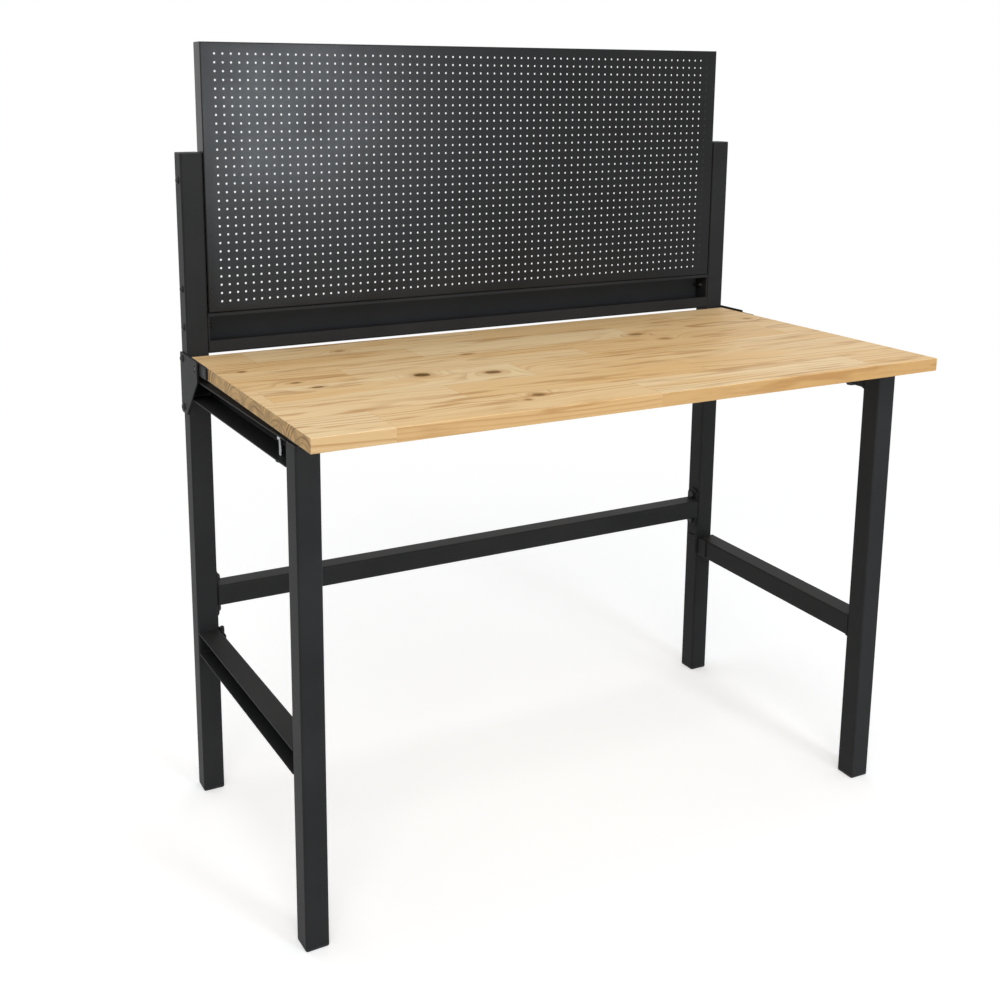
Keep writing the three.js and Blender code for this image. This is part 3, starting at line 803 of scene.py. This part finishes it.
def about_hinge(angle):
    """A turn about the left side frame's hinge line."""
    return Matrix.Translation(HINGE) @ Matrix.Rotation(angle, 4, "Z") @ Matrix.Translation(-HINGE)


def left_box(node):
    """Lowest and highest corner of the left one of a pair, with its side frame turned square."""
    left = f"{node}_left"
    if BODY[left] != "left_frame":
        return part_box(left)
    square = about_hinge(-TOE_IN)
    points = [square @ vertex.co for vertex in frame["nodes"][left].data.vertices]
    return [Vector(limit(point[k] for point in points) for k in range(3)) for limit in (min, max)]


def drawn(node, side, draw, *sizes):
    """A mesh drawn in the box of the left one of a pair, turned in with its side frame and set to a side."""
    bm = bmesh.new()
    draw(bm, *left_box(node), *sizes)
    if BODY[f"{node}_left"] == "left_frame":
        bmesh.ops.transform(bm, matrix=about_hinge(TOE_IN), verts=bm.verts)
    if side == "right":
        bmesh.ops.transform(bm, matrix=MIRROR, verts=bm.verts)
    return bm


def one_of_pair(node, side, ending, draw, *sizes, finishes=None):
    """One side's piece of a pair, in the place of its node."""
    stands_for(f"{node}_{side}", ending, drawn(node, side, draw, *sizes), finishes)


class BENCH_OT_tubes(bpy.types.Operator):
    """Square tubes of the uprights and the front legs"""

    bl_idname = "bench.tubes"
    bl_label = "Uprights and legs"

    def execute(self, context):
        for side in SIDES:
            for node in ("upright", "front_leg"):
                one_of_pair(node, side, "tube", self.tube, context.scene.bench_steel)
        return {"FINISHED"}

    def tube(self, bm, low, high, steel):
        square_tube(bm, low.xy, high.xy, "z", low.z, high.z, steel)


class BENCH_OT_plugs(bpy.types.Operator):
    """Plastic feet and caps in the tubes' ends"""

    bl_idname = "bench.plugs"
    bl_label = "Feet and caps"

    # Depth from the outer end and inset, from the hollow in a foot's sole or a cap's crown out to its rim
    SOLE = ((0.0012, 0.0090), (0.0012, 0.0075), (0, 0.0068), (0, 0.0022), (0.0005, 0.0010),
            (0.0016, 0.0002), (0.0030, 0), (0.0060, 0))
    CROWN = ((0.0005, 0.0066), (0, 0.0060), (0, 0.0014), (0.0004, 0.0004), (0.0012, 0), (0.0030, 0))
    LEAD_IN = 0.002
    LEAD_IN_DEPTH = 0.0015

    def execute(self, context):
        steel = context.scene.bench_steel
        for side in SIDES:
            for tube in ("upright", "leg"):
                one_of_pair(f"{tube}_foot", side, "plug", self.plug, steel, self.SOLE, 1)
                one_of_pair(f"{tube}_cap", side, "plug", self.plug, steel, self.CROWN, -1)
        return {"FINISHED"}

    def plug(self, bm, low, high, steel, profile, way):
        """A plug from its outer end to the end of its neck, upwards or downwards."""
        outer, inner = (low.z, high.z) if way > 0 else (high.z, low.z)
        neck = steel.tube_wall + FIT
        steps = [(outer + way * depth, amount) for depth, amount in profile]
        rim = steps[-1][0]
        steps += [(rim, neck), (inner - way * self.LEAD_IN, neck), (inner, neck + self.LEAD_IN_DEPTH)]
        outline = rounded(rectangle(low.xy, high.xy), steel.tube_corner)
        skin(bm, layers(outline, "z", steps))


class BENCH_OT_rails(bpy.types.Operator):
    """Channels of the side frames, with the welds that join them to the legs"""

    bl_idname = "bench.rails"
    bl_label = "Rails"

    def execute(self, context):
        steel = context.scene.bench_steel
        for side in SIDES:
            for node in ("upper_rail", "lower_rail"):
                one_of_pair(node, side, "channel", self.channel, steel)
                weld = drawn(node, side, self.weld, steel)
                piece(f"{node}_{side}_weld", weld, f"{side}_frame", "powder_coat")
        return {"FINISHED"}

    def channel(self, bm, low, high, steel):
        prism(bm, folded(rectangle(low.xz, high.xz), steel), "y", low.y, high.y)

    def weld(self, bm, low, high, steel):
        """A bead round the outside of the channel's end, from one lip to the other."""
        path = rounded(rectangle(low.xz, high.xz), steel.bend + steel.sheet, BEND_STEPS, closed=False)
        for end in (0, -1):
            path[end] += Vector((steel.weld * 2, 0))
        bead(bm, stand(path, "y", low.y), steel.weld, steel.ripple)


class BENCH_OT_lower_beam(bpy.types.Operator):
    """Square tube between the uprights, with rounded end plates welded on"""

    bl_idname = "bench.lower_beam"
    bl_label = "Lower beam"

    PLATE = 0.003
    PLATE_WIDTH = 0.032
    WELD_WIDTH = 0.8  # of the plate's
    WELD_OFF = 0.2  # of the bead's radius, from the tube's face to the bead's middle

    def execute(self, context):
        steel = context.scene.bench_steel
        low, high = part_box("rear_beam_lower")
        middle_y, middle_z = (low.y + high.y) / 2, (low.z + high.z) / 2
        half_tube, half_plate = (high.y - low.y) / 2, self.PLATE_WIDTH / 2
        bottom, top = middle_z - half_tube, middle_z + half_tube
        bm = bmesh.new()
        inner = self.PLATE / 2
        square_tube(bm, (low.y, bottom), (high.y, top), "x", low.x + inner, high.x - inner, steel)
        outside = rectangle((middle_y - half_plate, low.z), (middle_y + half_plate, high.z))
        plate = rounded(outside, half_plate * ROUND_END, SMALL_ROUND)
        for end in (low.x, high.x - self.PLATE):
            prism(bm, plate, "x", end, end + self.PLATE)
        reach, rise = half_plate * self.WELD_WIDTH, steel.weld * self.WELD_OFF
        for end in (low.x + self.PLATE, high.x - self.PLATE):
            for z in (bottom - rise, top + rise):
                path = [Vector((end, middle_y + way * reach, z)) for way in (-1, 1)]
                bead(bm, path, steel.weld, steel.ripple)
        stands_for("rear_beam_lower", "tube", bm)
        return {"FINISHED"}


class BENCH_OT_upper_beam(bpy.types.Operator):
    """Folded channel under the pegboard, open to the front, and its end plates"""

    bl_idname = "bench.upper_beam"
    bl_label = "Upper beam"

    LIP = 0.023
    TOP_LIP = 0.006
    WELD = 0.8  # of the usual bead

    def execute(self, context):
        steel = context.scene.bench_steel
        low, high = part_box("rear_beam_upper")
        lip, top_lip = (low.y, low.z + self.LIP), (low.y, high.z - self.TOP_LIP)
        corners = [lip, *rectangle(low.yz, high.yz), top_lip]
        bm = bmesh.new()
        prism(bm, folded(corners, steel), "x", low.x, high.x)
        stands_for("rear_beam_upper", "channel", bm)
        for side in SIDES:
            low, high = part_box(f"upper_beam_plate_{side}")
            inner = high.x if side == "left" else low.x
            bm = bmesh.new()
            prism(bm, rounded(rectangle(low.yz, high.yz), steel.bend), "x", low.x, high.x)
            for z in (low.z, high.z):
                path = [Vector((inner, y, z)) for y in (low.y + steel.weld, high.y - steel.weld)]
                bead(bm, path, steel.weld * self.WELD, steel.ripple)
            stands_for(f"upper_beam_plate_{side}", "welded", bm)
        return {"FINISHED"}


class BENCH_OT_pegboard(bpy.types.Operator):
    """Perforated panel with its edges folded back"""

    bl_idname = "bench.pegboard"
    bl_label = "Pegboard"

    FOLD = 0.0022
    FOLD_CURVE = ((0, 1), (0.13, 0.5), (0.5, 0.13), (1, 0))  # depth and inset, in shares of the fold
    ROUNDING = 0.001  # of a pitch, when holes are counted
    HOLE_START = 0.625  # the turn to a cell's first corner

    def execute(self, context):
        panel = context.scene.bench_panel
        low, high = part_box("pegboard")
        pitch, sheet, fold = panel.pitch, panel.sheet, self.FOLD
        lengths = (high.x - low.x, high.z - low.z)
        counts = [int((length - 2 * panel.margin) / pitch + self.ROUNDING) + 1 for length in lengths]
        start = [middle - count * pitch / 2 for middle, count in zip(((low + high) / 2).xz, counts)]

        steps = [(low.y + fold * depth, fold * amount) for depth, amount in self.FOLD_CURVE]
        steps += [(high.y, 0), (high.y, sheet), (low.y + fold, sheet), (low.y + sheet, fold)]
        bm = bmesh.new()
        loops, _ = shell(bm, layers(rectangle(low.xz, high.xz), "y", steps))
        front = self.sheet_face(bm, low.y, start, counts, panel, loops[0])
        back = self.sheet_face(bm, low.y + sheet, start, counts, panel, loops[-1])
        for near, far in zip(front, back):
            bridge(bm, near, far)
        # The panel takes its own coat, darkened as painted shade
        stands_for("pegboard", "panel", bm, ["panel_coat"])
        return {"FINISHED"}

    def sheet_face(self, bm, y, start, counts, panel, rim):
        """One face of the sheet: a cell for each hole of the grid, and a border out to the rim."""
        pitch, sides = panel.pitch, panel.hole_sides
        left, bottom = start
        columns, rows = counts
        grid = [[bm.verts.new((left + i * pitch, y, bottom + j * pitch)) for j in range(rows + 1)]
                for i in range(columns + 1)]
        quarter = sides // 4
        holes = []
        for i in range(columns):
            for j in range(rows):
                centre = (left + (i + 0.5) * pitch, bottom + (j + 0.5) * pitch)
                outline = circle(centre, panel.diameter, sides, self.HOLE_START)
                hole = [bm.verts.new(point) for point in stand(outline, "y", y)]
                corners = [grid[i][j], grid[i + 1][j], grid[i + 1][j + 1], grid[i][j + 1]]
                for k in range(4):
                    arc = [hole[(k * quarter + s) % sides] for s in range(quarter + 1)]
                    bm.faces.new([corners[k], corners[(k + 1) % 4]] + arc[::-1])
                holes.append(hole)
        below, above = [column[0] for column in grid], [column[-1] for column in grid]
        for k, run in enumerate((below, grid[-1], above[::-1], grid[0][::-1])):
            bm.faces.new([rim[k], rim[(k + 1) % 4]] + run[::-1])
        return holes


class BENCH_OT_brackets(bpy.types.Operator):
    """Plates on the uprights that carry the worktop's pivots in slots"""

    bl_idname = "bench.brackets"
    bl_label = "Worktop brackets"

    FRONT_EDGE = 0.037
    FOOT = 0.032
    CORNER = 0.003
    SLOT_PLAY = 0.0032
    SLOT_WIDTH = 0.0088
    SLOT_STEPS = 10

    def execute(self, context):
        for side in SIDES:
            one_of_pair("worktop_bracket", side, "plate", self.plate)
        return {"FINISHED"}

    def plate(self, bm, low, high):
        """A plate with eased edges and one slot through it, round the pivot."""
        pin_low, pin_high = left_box("pivot_pin")
        pivot = ((pin_low + pin_high) / 2).yz
        outline = rounded([(low.y, high.z - self.FRONT_EDGE), (high.y - self.FOOT, low.z), (high.y, low.z),
                           (high.y, high.z), (low.y, high.z)], self.CORNER)
        half = self.SLOT_WIDTH / 2
        reach = Vector((half, half + self.SLOT_PLAY / 2))
        slot = rounded(rectangle(pivot - reach, pivot + reach), half * ROUND_END, self.SLOT_STEPS)
        rims = []
        for edge, ease in ((outline, EASED), (slot, -EASED)):
            steps = ((low.x, ease), (low.x + EASED, 0), (high.x - EASED, 0), (high.x, ease))
            loops, _ = shell(bm, layers(edge, "x", steps))
            rims.append((loops[0], loops[-1]))
        for face in zip(*rims):
            edges = [bm.edges.get((loop[k - 1], loop[k])) for loop in face for k in range(len(loop))]
            bmesh.ops.triangle_fill(bm, use_beauty=True, edges=edges)


class BENCH_OT_hinges(bpy.types.Operator):
    """Butt hinges between the uprights and the rails: leaves, knuckles and pins"""

    bl_idname = "bench.hinges"
    bl_label = "Frame hinges"

    BARREL = 0.009
    BARREL_RISE = 0.003  # above the leaves
    BORE = 0.0058
    LEAF = 0.0025
    LEAF_LENGTH = 0.032
    LEAF_GAP = 0.0005
    WELD = 0.6  # of the usual bead
    WELD_SUNK = 0.0006
    WELD_MARGIN = 0.003
    PIN = 0.005
    PIN_TIP = 0.84
    PIN_CHAMFER = 0.0006
    PIN_HEAD = 0.002
    PIN_DOME = ((0, 0.94), (0.15, 1), (0.5, 0.9), (0.85, 0.56), (1, 0.16))  # shares of its height and width

    def execute(self, context):
        steel = context.scene.bench_steel
        for side in SIDES:
            for level in LEVELS:
                one_of_pair(f"hinge_leaf_upright_{level}", side, "leaf", self.leaf, steel, False)
                one_of_pair(f"hinge_leaf_rail_{level}", side, "leaf", self.leaf, steel, True)
                one_of_pair(f"hinge_pin_{level}", side, "pin", self.pin)
        return {"FINISHED"}

    def leaf(self, bm, low, high, steel, on_rail):
        """A leaf with its half of the barrel: the lower half on the upright, the upper half on the rail."""
        if on_rail:
            way, top, barrel_top = -1, high.z - self.BARREL_RISE, high.z
            knuckle = ((low.z + barrel_top) / 2 + FIT / 2, barrel_top)
        else:
            way, top, barrel_top = 1, high.z, high.z + self.BARREL_RISE
            knuckle = (low.z, (low.z + barrel_top) / 2 - FIT / 2)
        near = HINGE.y + way * (self.BARREL / 2 + self.LEAF_GAP)
        far = HINGE.y + way * self.LEAF_LENGTH
        prism(bm, self.strip(low.x, near, far), "z", low.z, top)
        prism(bm, self.strip(low.x, HINGE.y, near), "z", knuckle[0] + FIT, min(knuckle[1], top) - FIT)
        hollow(bm, circle(HINGE.xy, self.BARREL), circle(HINGE.xy, self.BORE), "z", *knuckle)
        ends = (low.z + self.WELD_MARGIN, top - self.WELD_MARGIN)
        path = [Vector((low.x + self.WELD_SUNK, far, z)) for z in ends]
        bead(bm, path, steel.weld * self.WELD, steel.ripple)

    def strip(self, face, start, end):
        """The section of a leaf between two places along it."""
        return rectangle((face, min(start, end)), (face + self.LEAF, max(start, end)))

    def pin(self, bm, low, high):
        """A pin with a domed head."""
        seat = high.z - self.PIN_HEAD
        width = high.x - low.x
        profile = [(low.z, self.PIN * self.PIN_TIP), (low.z + self.PIN_CHAMFER, self.PIN), (seat, self.PIN)]
        profile += [(seat + self.PIN_HEAD * rise, width * share) for rise, share in self.PIN_DOME]
        lathe(bm, "z", HINGE.xy, profile)


class BENCH_OT_bolts(bpy.types.Operator):
    """Bolts through the brackets, the beams and the pegboard"""

    bl_idname = "bench.bolts"
    bl_label = "Bolts"

    # Node, size, shape of the head, and whether the head is outside the bench
    KINDS = (
        ("bracket_bolt_lower", LOW_BOLT, "dome", True),
        ("bracket_bolt_upper", LOW_BOLT, "dome", True),
        ("pegboard_bolt_lower", PANEL_BOLT, "dome", True),
        ("pegboard_bolt_upper", PANEL_BOLT, "dome", True),
        ("lower_beam_bolt_lower", HEX_BOLT, "hexagon", False),
        ("lower_beam_bolt_upper", HEX_BOLT, "hexagon", False),
        ("upper_beam_bolt", LOW_BOLT, "dome", True),
    )

    def execute(self, context):
        for node, *kind in self.KINDS:
            for side in SIDES:
                one_of_pair(node, side, "bolt", self.bolt, *kind)
        return {"FINISHED"}

    def bolt(self, bm, low, high, bolt, shape, outside):
        centre = ((low + high) / 2).yz
        if outside:
            seat, way = low.x + bolt.height, -1
            start, end = seat, high.x
        else:
            seat, way = high.x - bolt.height, 1
            start, end = low.x, seat
        head(bm, "x", centre, seat, way, bolt, shape)
        shank(bm, "x", centre, start, end, bolt.shank)


class BENCH_OT_locks(bpy.types.Operator):
    """Lock bolts that stand through the upper rails, and their nuts"""

    bl_idname = "bench.locks"
    bl_label = "Lock bolts"

    BOLT = Bolt(0.006, 0.016, 0.008)
    NUT = 0.010
    NUT_CHAMFER = 0.15  # of the nut's height
    NUT_FACE = 0.96  # of the nut's width
    NUT_BORE = 1.06  # of the shank

    def execute(self, context):
        for side in SIDES:
            one_of_pair("lock_bolt", side, "bolt", self.bolt, finishes=["zinc", "black_plastic"])
            one_of_pair("lock_nut", side, "nut", self.nut)
        return {"FINISHED"}

    def bolt(self, bm, low, high):
        """A plated bolt with a plastic head under the rail."""
        centre = ((low + high) / 2).xy
        seat = low.z + self.BOLT.height
        shank(bm, "z", centre, seat, high.z, self.BOLT.shank)
        head(bm, "z", centre, seat, -1, self.BOLT, "hexagon", material=1)

    def nut(self, bm, low, high):
        """A nut chamfered on both faces."""
        chamfer = (high.z - low.z) * self.NUT_CHAMFER
        face, bore = self.NUT * self.NUT_FACE, self.BOLT.shank * self.NUT_BORE
        profile = [(circle, face, low.z), (hexagon, self.NUT, low.z + chamfer),
                   (hexagon, self.NUT, high.z - chamfer), (circle, face, high.z),
                   (circle, bore, high.z), (circle, bore, low.z)]
        wrought(bm, "z", ((low + high) / 2).xy, profile, joined=True)


class BENCH_OT_worktop(bpy.types.Operator):
    """Glued pine board with eased edges"""

    bl_idname = "bench.worktop"
    bl_label = "Worktop"

    ROUNDING = 0.002
    END_EDGE = 0.0009

    def execute(self, context):
        low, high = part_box("worktop_board")
        bm = bmesh.new()
        outline = rounded(rectangle(low.yz, high.yz), self.ROUNDING)
        prism(bm, outline, "x", low.x, high.x, self.END_EDGE)
        stands_for("worktop_board", "pine", bm)
        return {"FINISHED"}


class BENCH_OT_worktop_steel(bpy.types.Operator):
    """Hinge plates on the board's ends with their screws, pivot pins and rest pads"""

    bl_idname = "bench.worktop_steel"
    bl_label = "Worktop fittings"

    PLATE_CORNER = 0.002
    SCREW = 0.008
    SCREW_PLACES = (0.014, 0.040)
    # Shape, share of the screw's width and depth below the plate's face, from the cone's end to the recess
    SCREW_HEAD = ((circle, 0.60, 0.0024), (circle, 1, 0.0002), (circle, 0.96, -0.0002),
                  (circle, 0.55, -0.0003), (hexagon, 0.40, -0.0003), (hexagon, 0.38, 0.0012))
    PIVOT_TIP = ((0, 0.80), (0.0004, 0.93), (0.0012, 1))  # depth from the tip, and share of the width
    PAD_CORNER = 0.003
    PAD_EDGE = 0.0012

    def execute(self, context):
        for side in SIDES:
            one_of_pair("hinge_plate", side, "steel", self.plate)
            screws = drawn("hinge_plate", side, self.screws)
            piece(f"hinge_plate_screws_{side}", screws, "worktop", "black_bolt")
            one_of_pair("pivot_pin", side, "pin", self.pivot)
            one_of_pair("rest_pad", side, "rubber", self.pad)
        return {"FINISHED"}

    def plate(self, bm, low, high):
        prism(bm, rounded(rectangle(low.yz, high.yz), self.PLATE_CORNER), "x", low.x, high.x)

    def screws(self, bm, low, high):
        """Countersunk screw heads with hexagonal recesses, level with the plate."""
        profile = [(shape, self.SCREW * share, low.x + depth) for shape, share, depth in self.SCREW_HEAD]
        for place in self.SCREW_PLACES:
            wrought(bm, "x", (low.y + place, (low.z + high.z) / 2), profile)

    def pivot(self, bm, low, high):
        width = high.z - low.z
        profile = [(low.x + depth, width * share) for depth, share in self.PIVOT_TIP] + [(high.x, width)]
        lathe(bm, "x", ((low + high) / 2).yz, profile)

    def pad(self, bm, low, high):
        prism(bm, rounded(rectangle(low.xy, high.xy), self.PAD_CORNER), "z", low.z, high.z, self.PAD_EDGE)


class BENCH_OT_stage(bpy.types.Operator):
    """White floor, soft lamps, white surroundings and the camera"""

    bl_idname = "bench.stage"
    bl_label = "Stage"

    FLOOR_REACH = 14
    FLOOR_FADE = (1.0, 2.4)  # from the floor's own light to plain white
    FLOOR_ROUGHNESS = 0.9
    SENSOR_WIDTH = 36

    def execute(self, context):
        scene, stage = context.scene, context.scene.bench_stage
        scene.view_settings.view_transform = "Standard"
        self.floor(scene, stage)
        self.surroundings(scene, stage)
        self.lamp(scene, KEY_LAMP, stage.key)
        self.lamp(scene, OVERHEAD_LAMP, stage.overhead)
        self.lamp(scene, FRONT_LAMP, stage.front)

        data = bpy.data.cameras.new("Camera")
        data.sensor_width = self.SENSOR_WIDTH
        data.lens = stage.lens
        data.shift_x, data.shift_y = stage.camera_shift
        camera = bpy.data.objects.new("Camera", data)
        camera.location = stage.camera_place
        camera.rotation_euler = stage.camera_turn
        scene.collection.objects.link(camera)
        scene.camera = camera
        return {"FINISHED"}

    def floor(self, scene, stage):
        """A floor that takes shadows, with some white of its own in view, and all white further off."""
        finish = Finish("Floor white")
        finish.set("Base Color", (*stage.floor, 1))
        finish.set("Roughness", self.FLOOR_ROUGHNESS)
        finish.set("Specular IOR Level", 0.0)
        finish.set("Emission Color", (1, 1, 1, 1))
        in_view = finish.seen()
        finish.set("Emission Strength", in_view * stage.floor_glow)
        away = finish.value("ShaderNodeVectorMath", "Value", {"operation": "LENGTH"}, Vector=finish.place())
        white = finish.add("ShaderNodeEmission", Strength=1.0)
        fade = in_view * finish.spread(away, *self.FLOOR_FADE, smooth=True)
        finish.blend(fade, finish.shader, white, "Material Output")

        reach = self.FLOOR_REACH
        bm = bmesh.new()
        corners = stand(rectangle((-reach, -reach), (reach, reach)), "z", 0)
        bm.faces.new([bm.verts.new(corner) for corner in corners])
        mesh = bpy.data.meshes.new("Floor")
        bm.to_mesh(mesh)
        bm.free()
        mesh.materials.append(finish.material)
        floor = bpy.data.objects.new("Floor", mesh)
        scene.collection.objects.link(floor)

    def surroundings(self, scene, stage):
        """Soft light from all round, in whose place the camera, mirrors and glass see white."""
        world = bpy.data.worlds.new("Surroundings")
        world.use_nodes = True
        scene.world = world
        nodes = Nodes(world.node_tree)
        soft = world.node_tree.nodes["Background"]
        nodes.feed(soft.inputs["Color"], (*SKY_WHITE, 1))
        nodes.feed(soft.inputs["Strength"], stage.ambient)
        white = nodes.add("ShaderNodeBackground", Color=(1, 1, 1, 1))
        nodes.blend(nodes.seen(), soft, white, "World Output")

    def lamp(self, scene, lamp, power):
        data = bpy.data.lights.new(lamp.name, "AREA")
        data.shape = "SQUARE"
        data.size = lamp.size
        data.energy = power
        data.color = lamp.colour
        made = bpy.data.objects.new(lamp.name, data)
        made.location = lamp.place
        made.rotation_euler = (Vector(lamp.aim) - Vector(lamp.place)).to_track_quat("-Z", "Y").to_euler()
        scene.collection.objects.link(made)


class BENCH_PT_sidebar(bpy.types.Panel):
    """Lists the bench's pieces in the order in which they are made"""

    bl_idname = "BENCH_PT_sidebar"
    bl_label = "Workbench"
    bl_space_type = "VIEW_3D"
    bl_region_type = "UI"
    bl_category = "Workbench"

    def draw(self, context):
        for operator in OPERATORS:
            self.layout.operator(operator.bl_idname)


OPERATORS = (
    BENCH_OT_stage, BENCH_OT_tubes, BENCH_OT_plugs, BENCH_OT_rails, BENCH_OT_lower_beam, BENCH_OT_upper_beam,
    BENCH_OT_pegboard, BENCH_OT_brackets, BENCH_OT_hinges, BENCH_OT_bolts, BENCH_OT_locks, BENCH_OT_worktop,
    BENCH_OT_worktop_steel,
)
SETTINGS = {
    "bench_steel": SteelSettings,
    "bench_panel": PanelSettings,
    "bench_wood": WoodSettings,
    "bench_stage": StageSettings,
}


def register():
    for kind in (*SETTINGS.values(), *OPERATORS, BENCH_PT_sidebar):
        bpy.utils.register_class(kind)
    for name, kind in SETTINGS.items():
        setattr(bpy.types.Scene, name, PointerProperty(type=kind))


def unregister():
    for name in SETTINGS:
        delattr(bpy.types.Scene, name)
    for kind in (BENCH_PT_sidebar, *reversed(OPERATORS), *SETTINGS.values()):
        bpy.utils.unregister_class(kind)


def main():
    register()
    for operator in OPERATORS:
        group, name = operator.bl_idname.split(".")
        getattr(getattr(bpy.ops, group), name)()


if __name__ == "__main__":
    main()
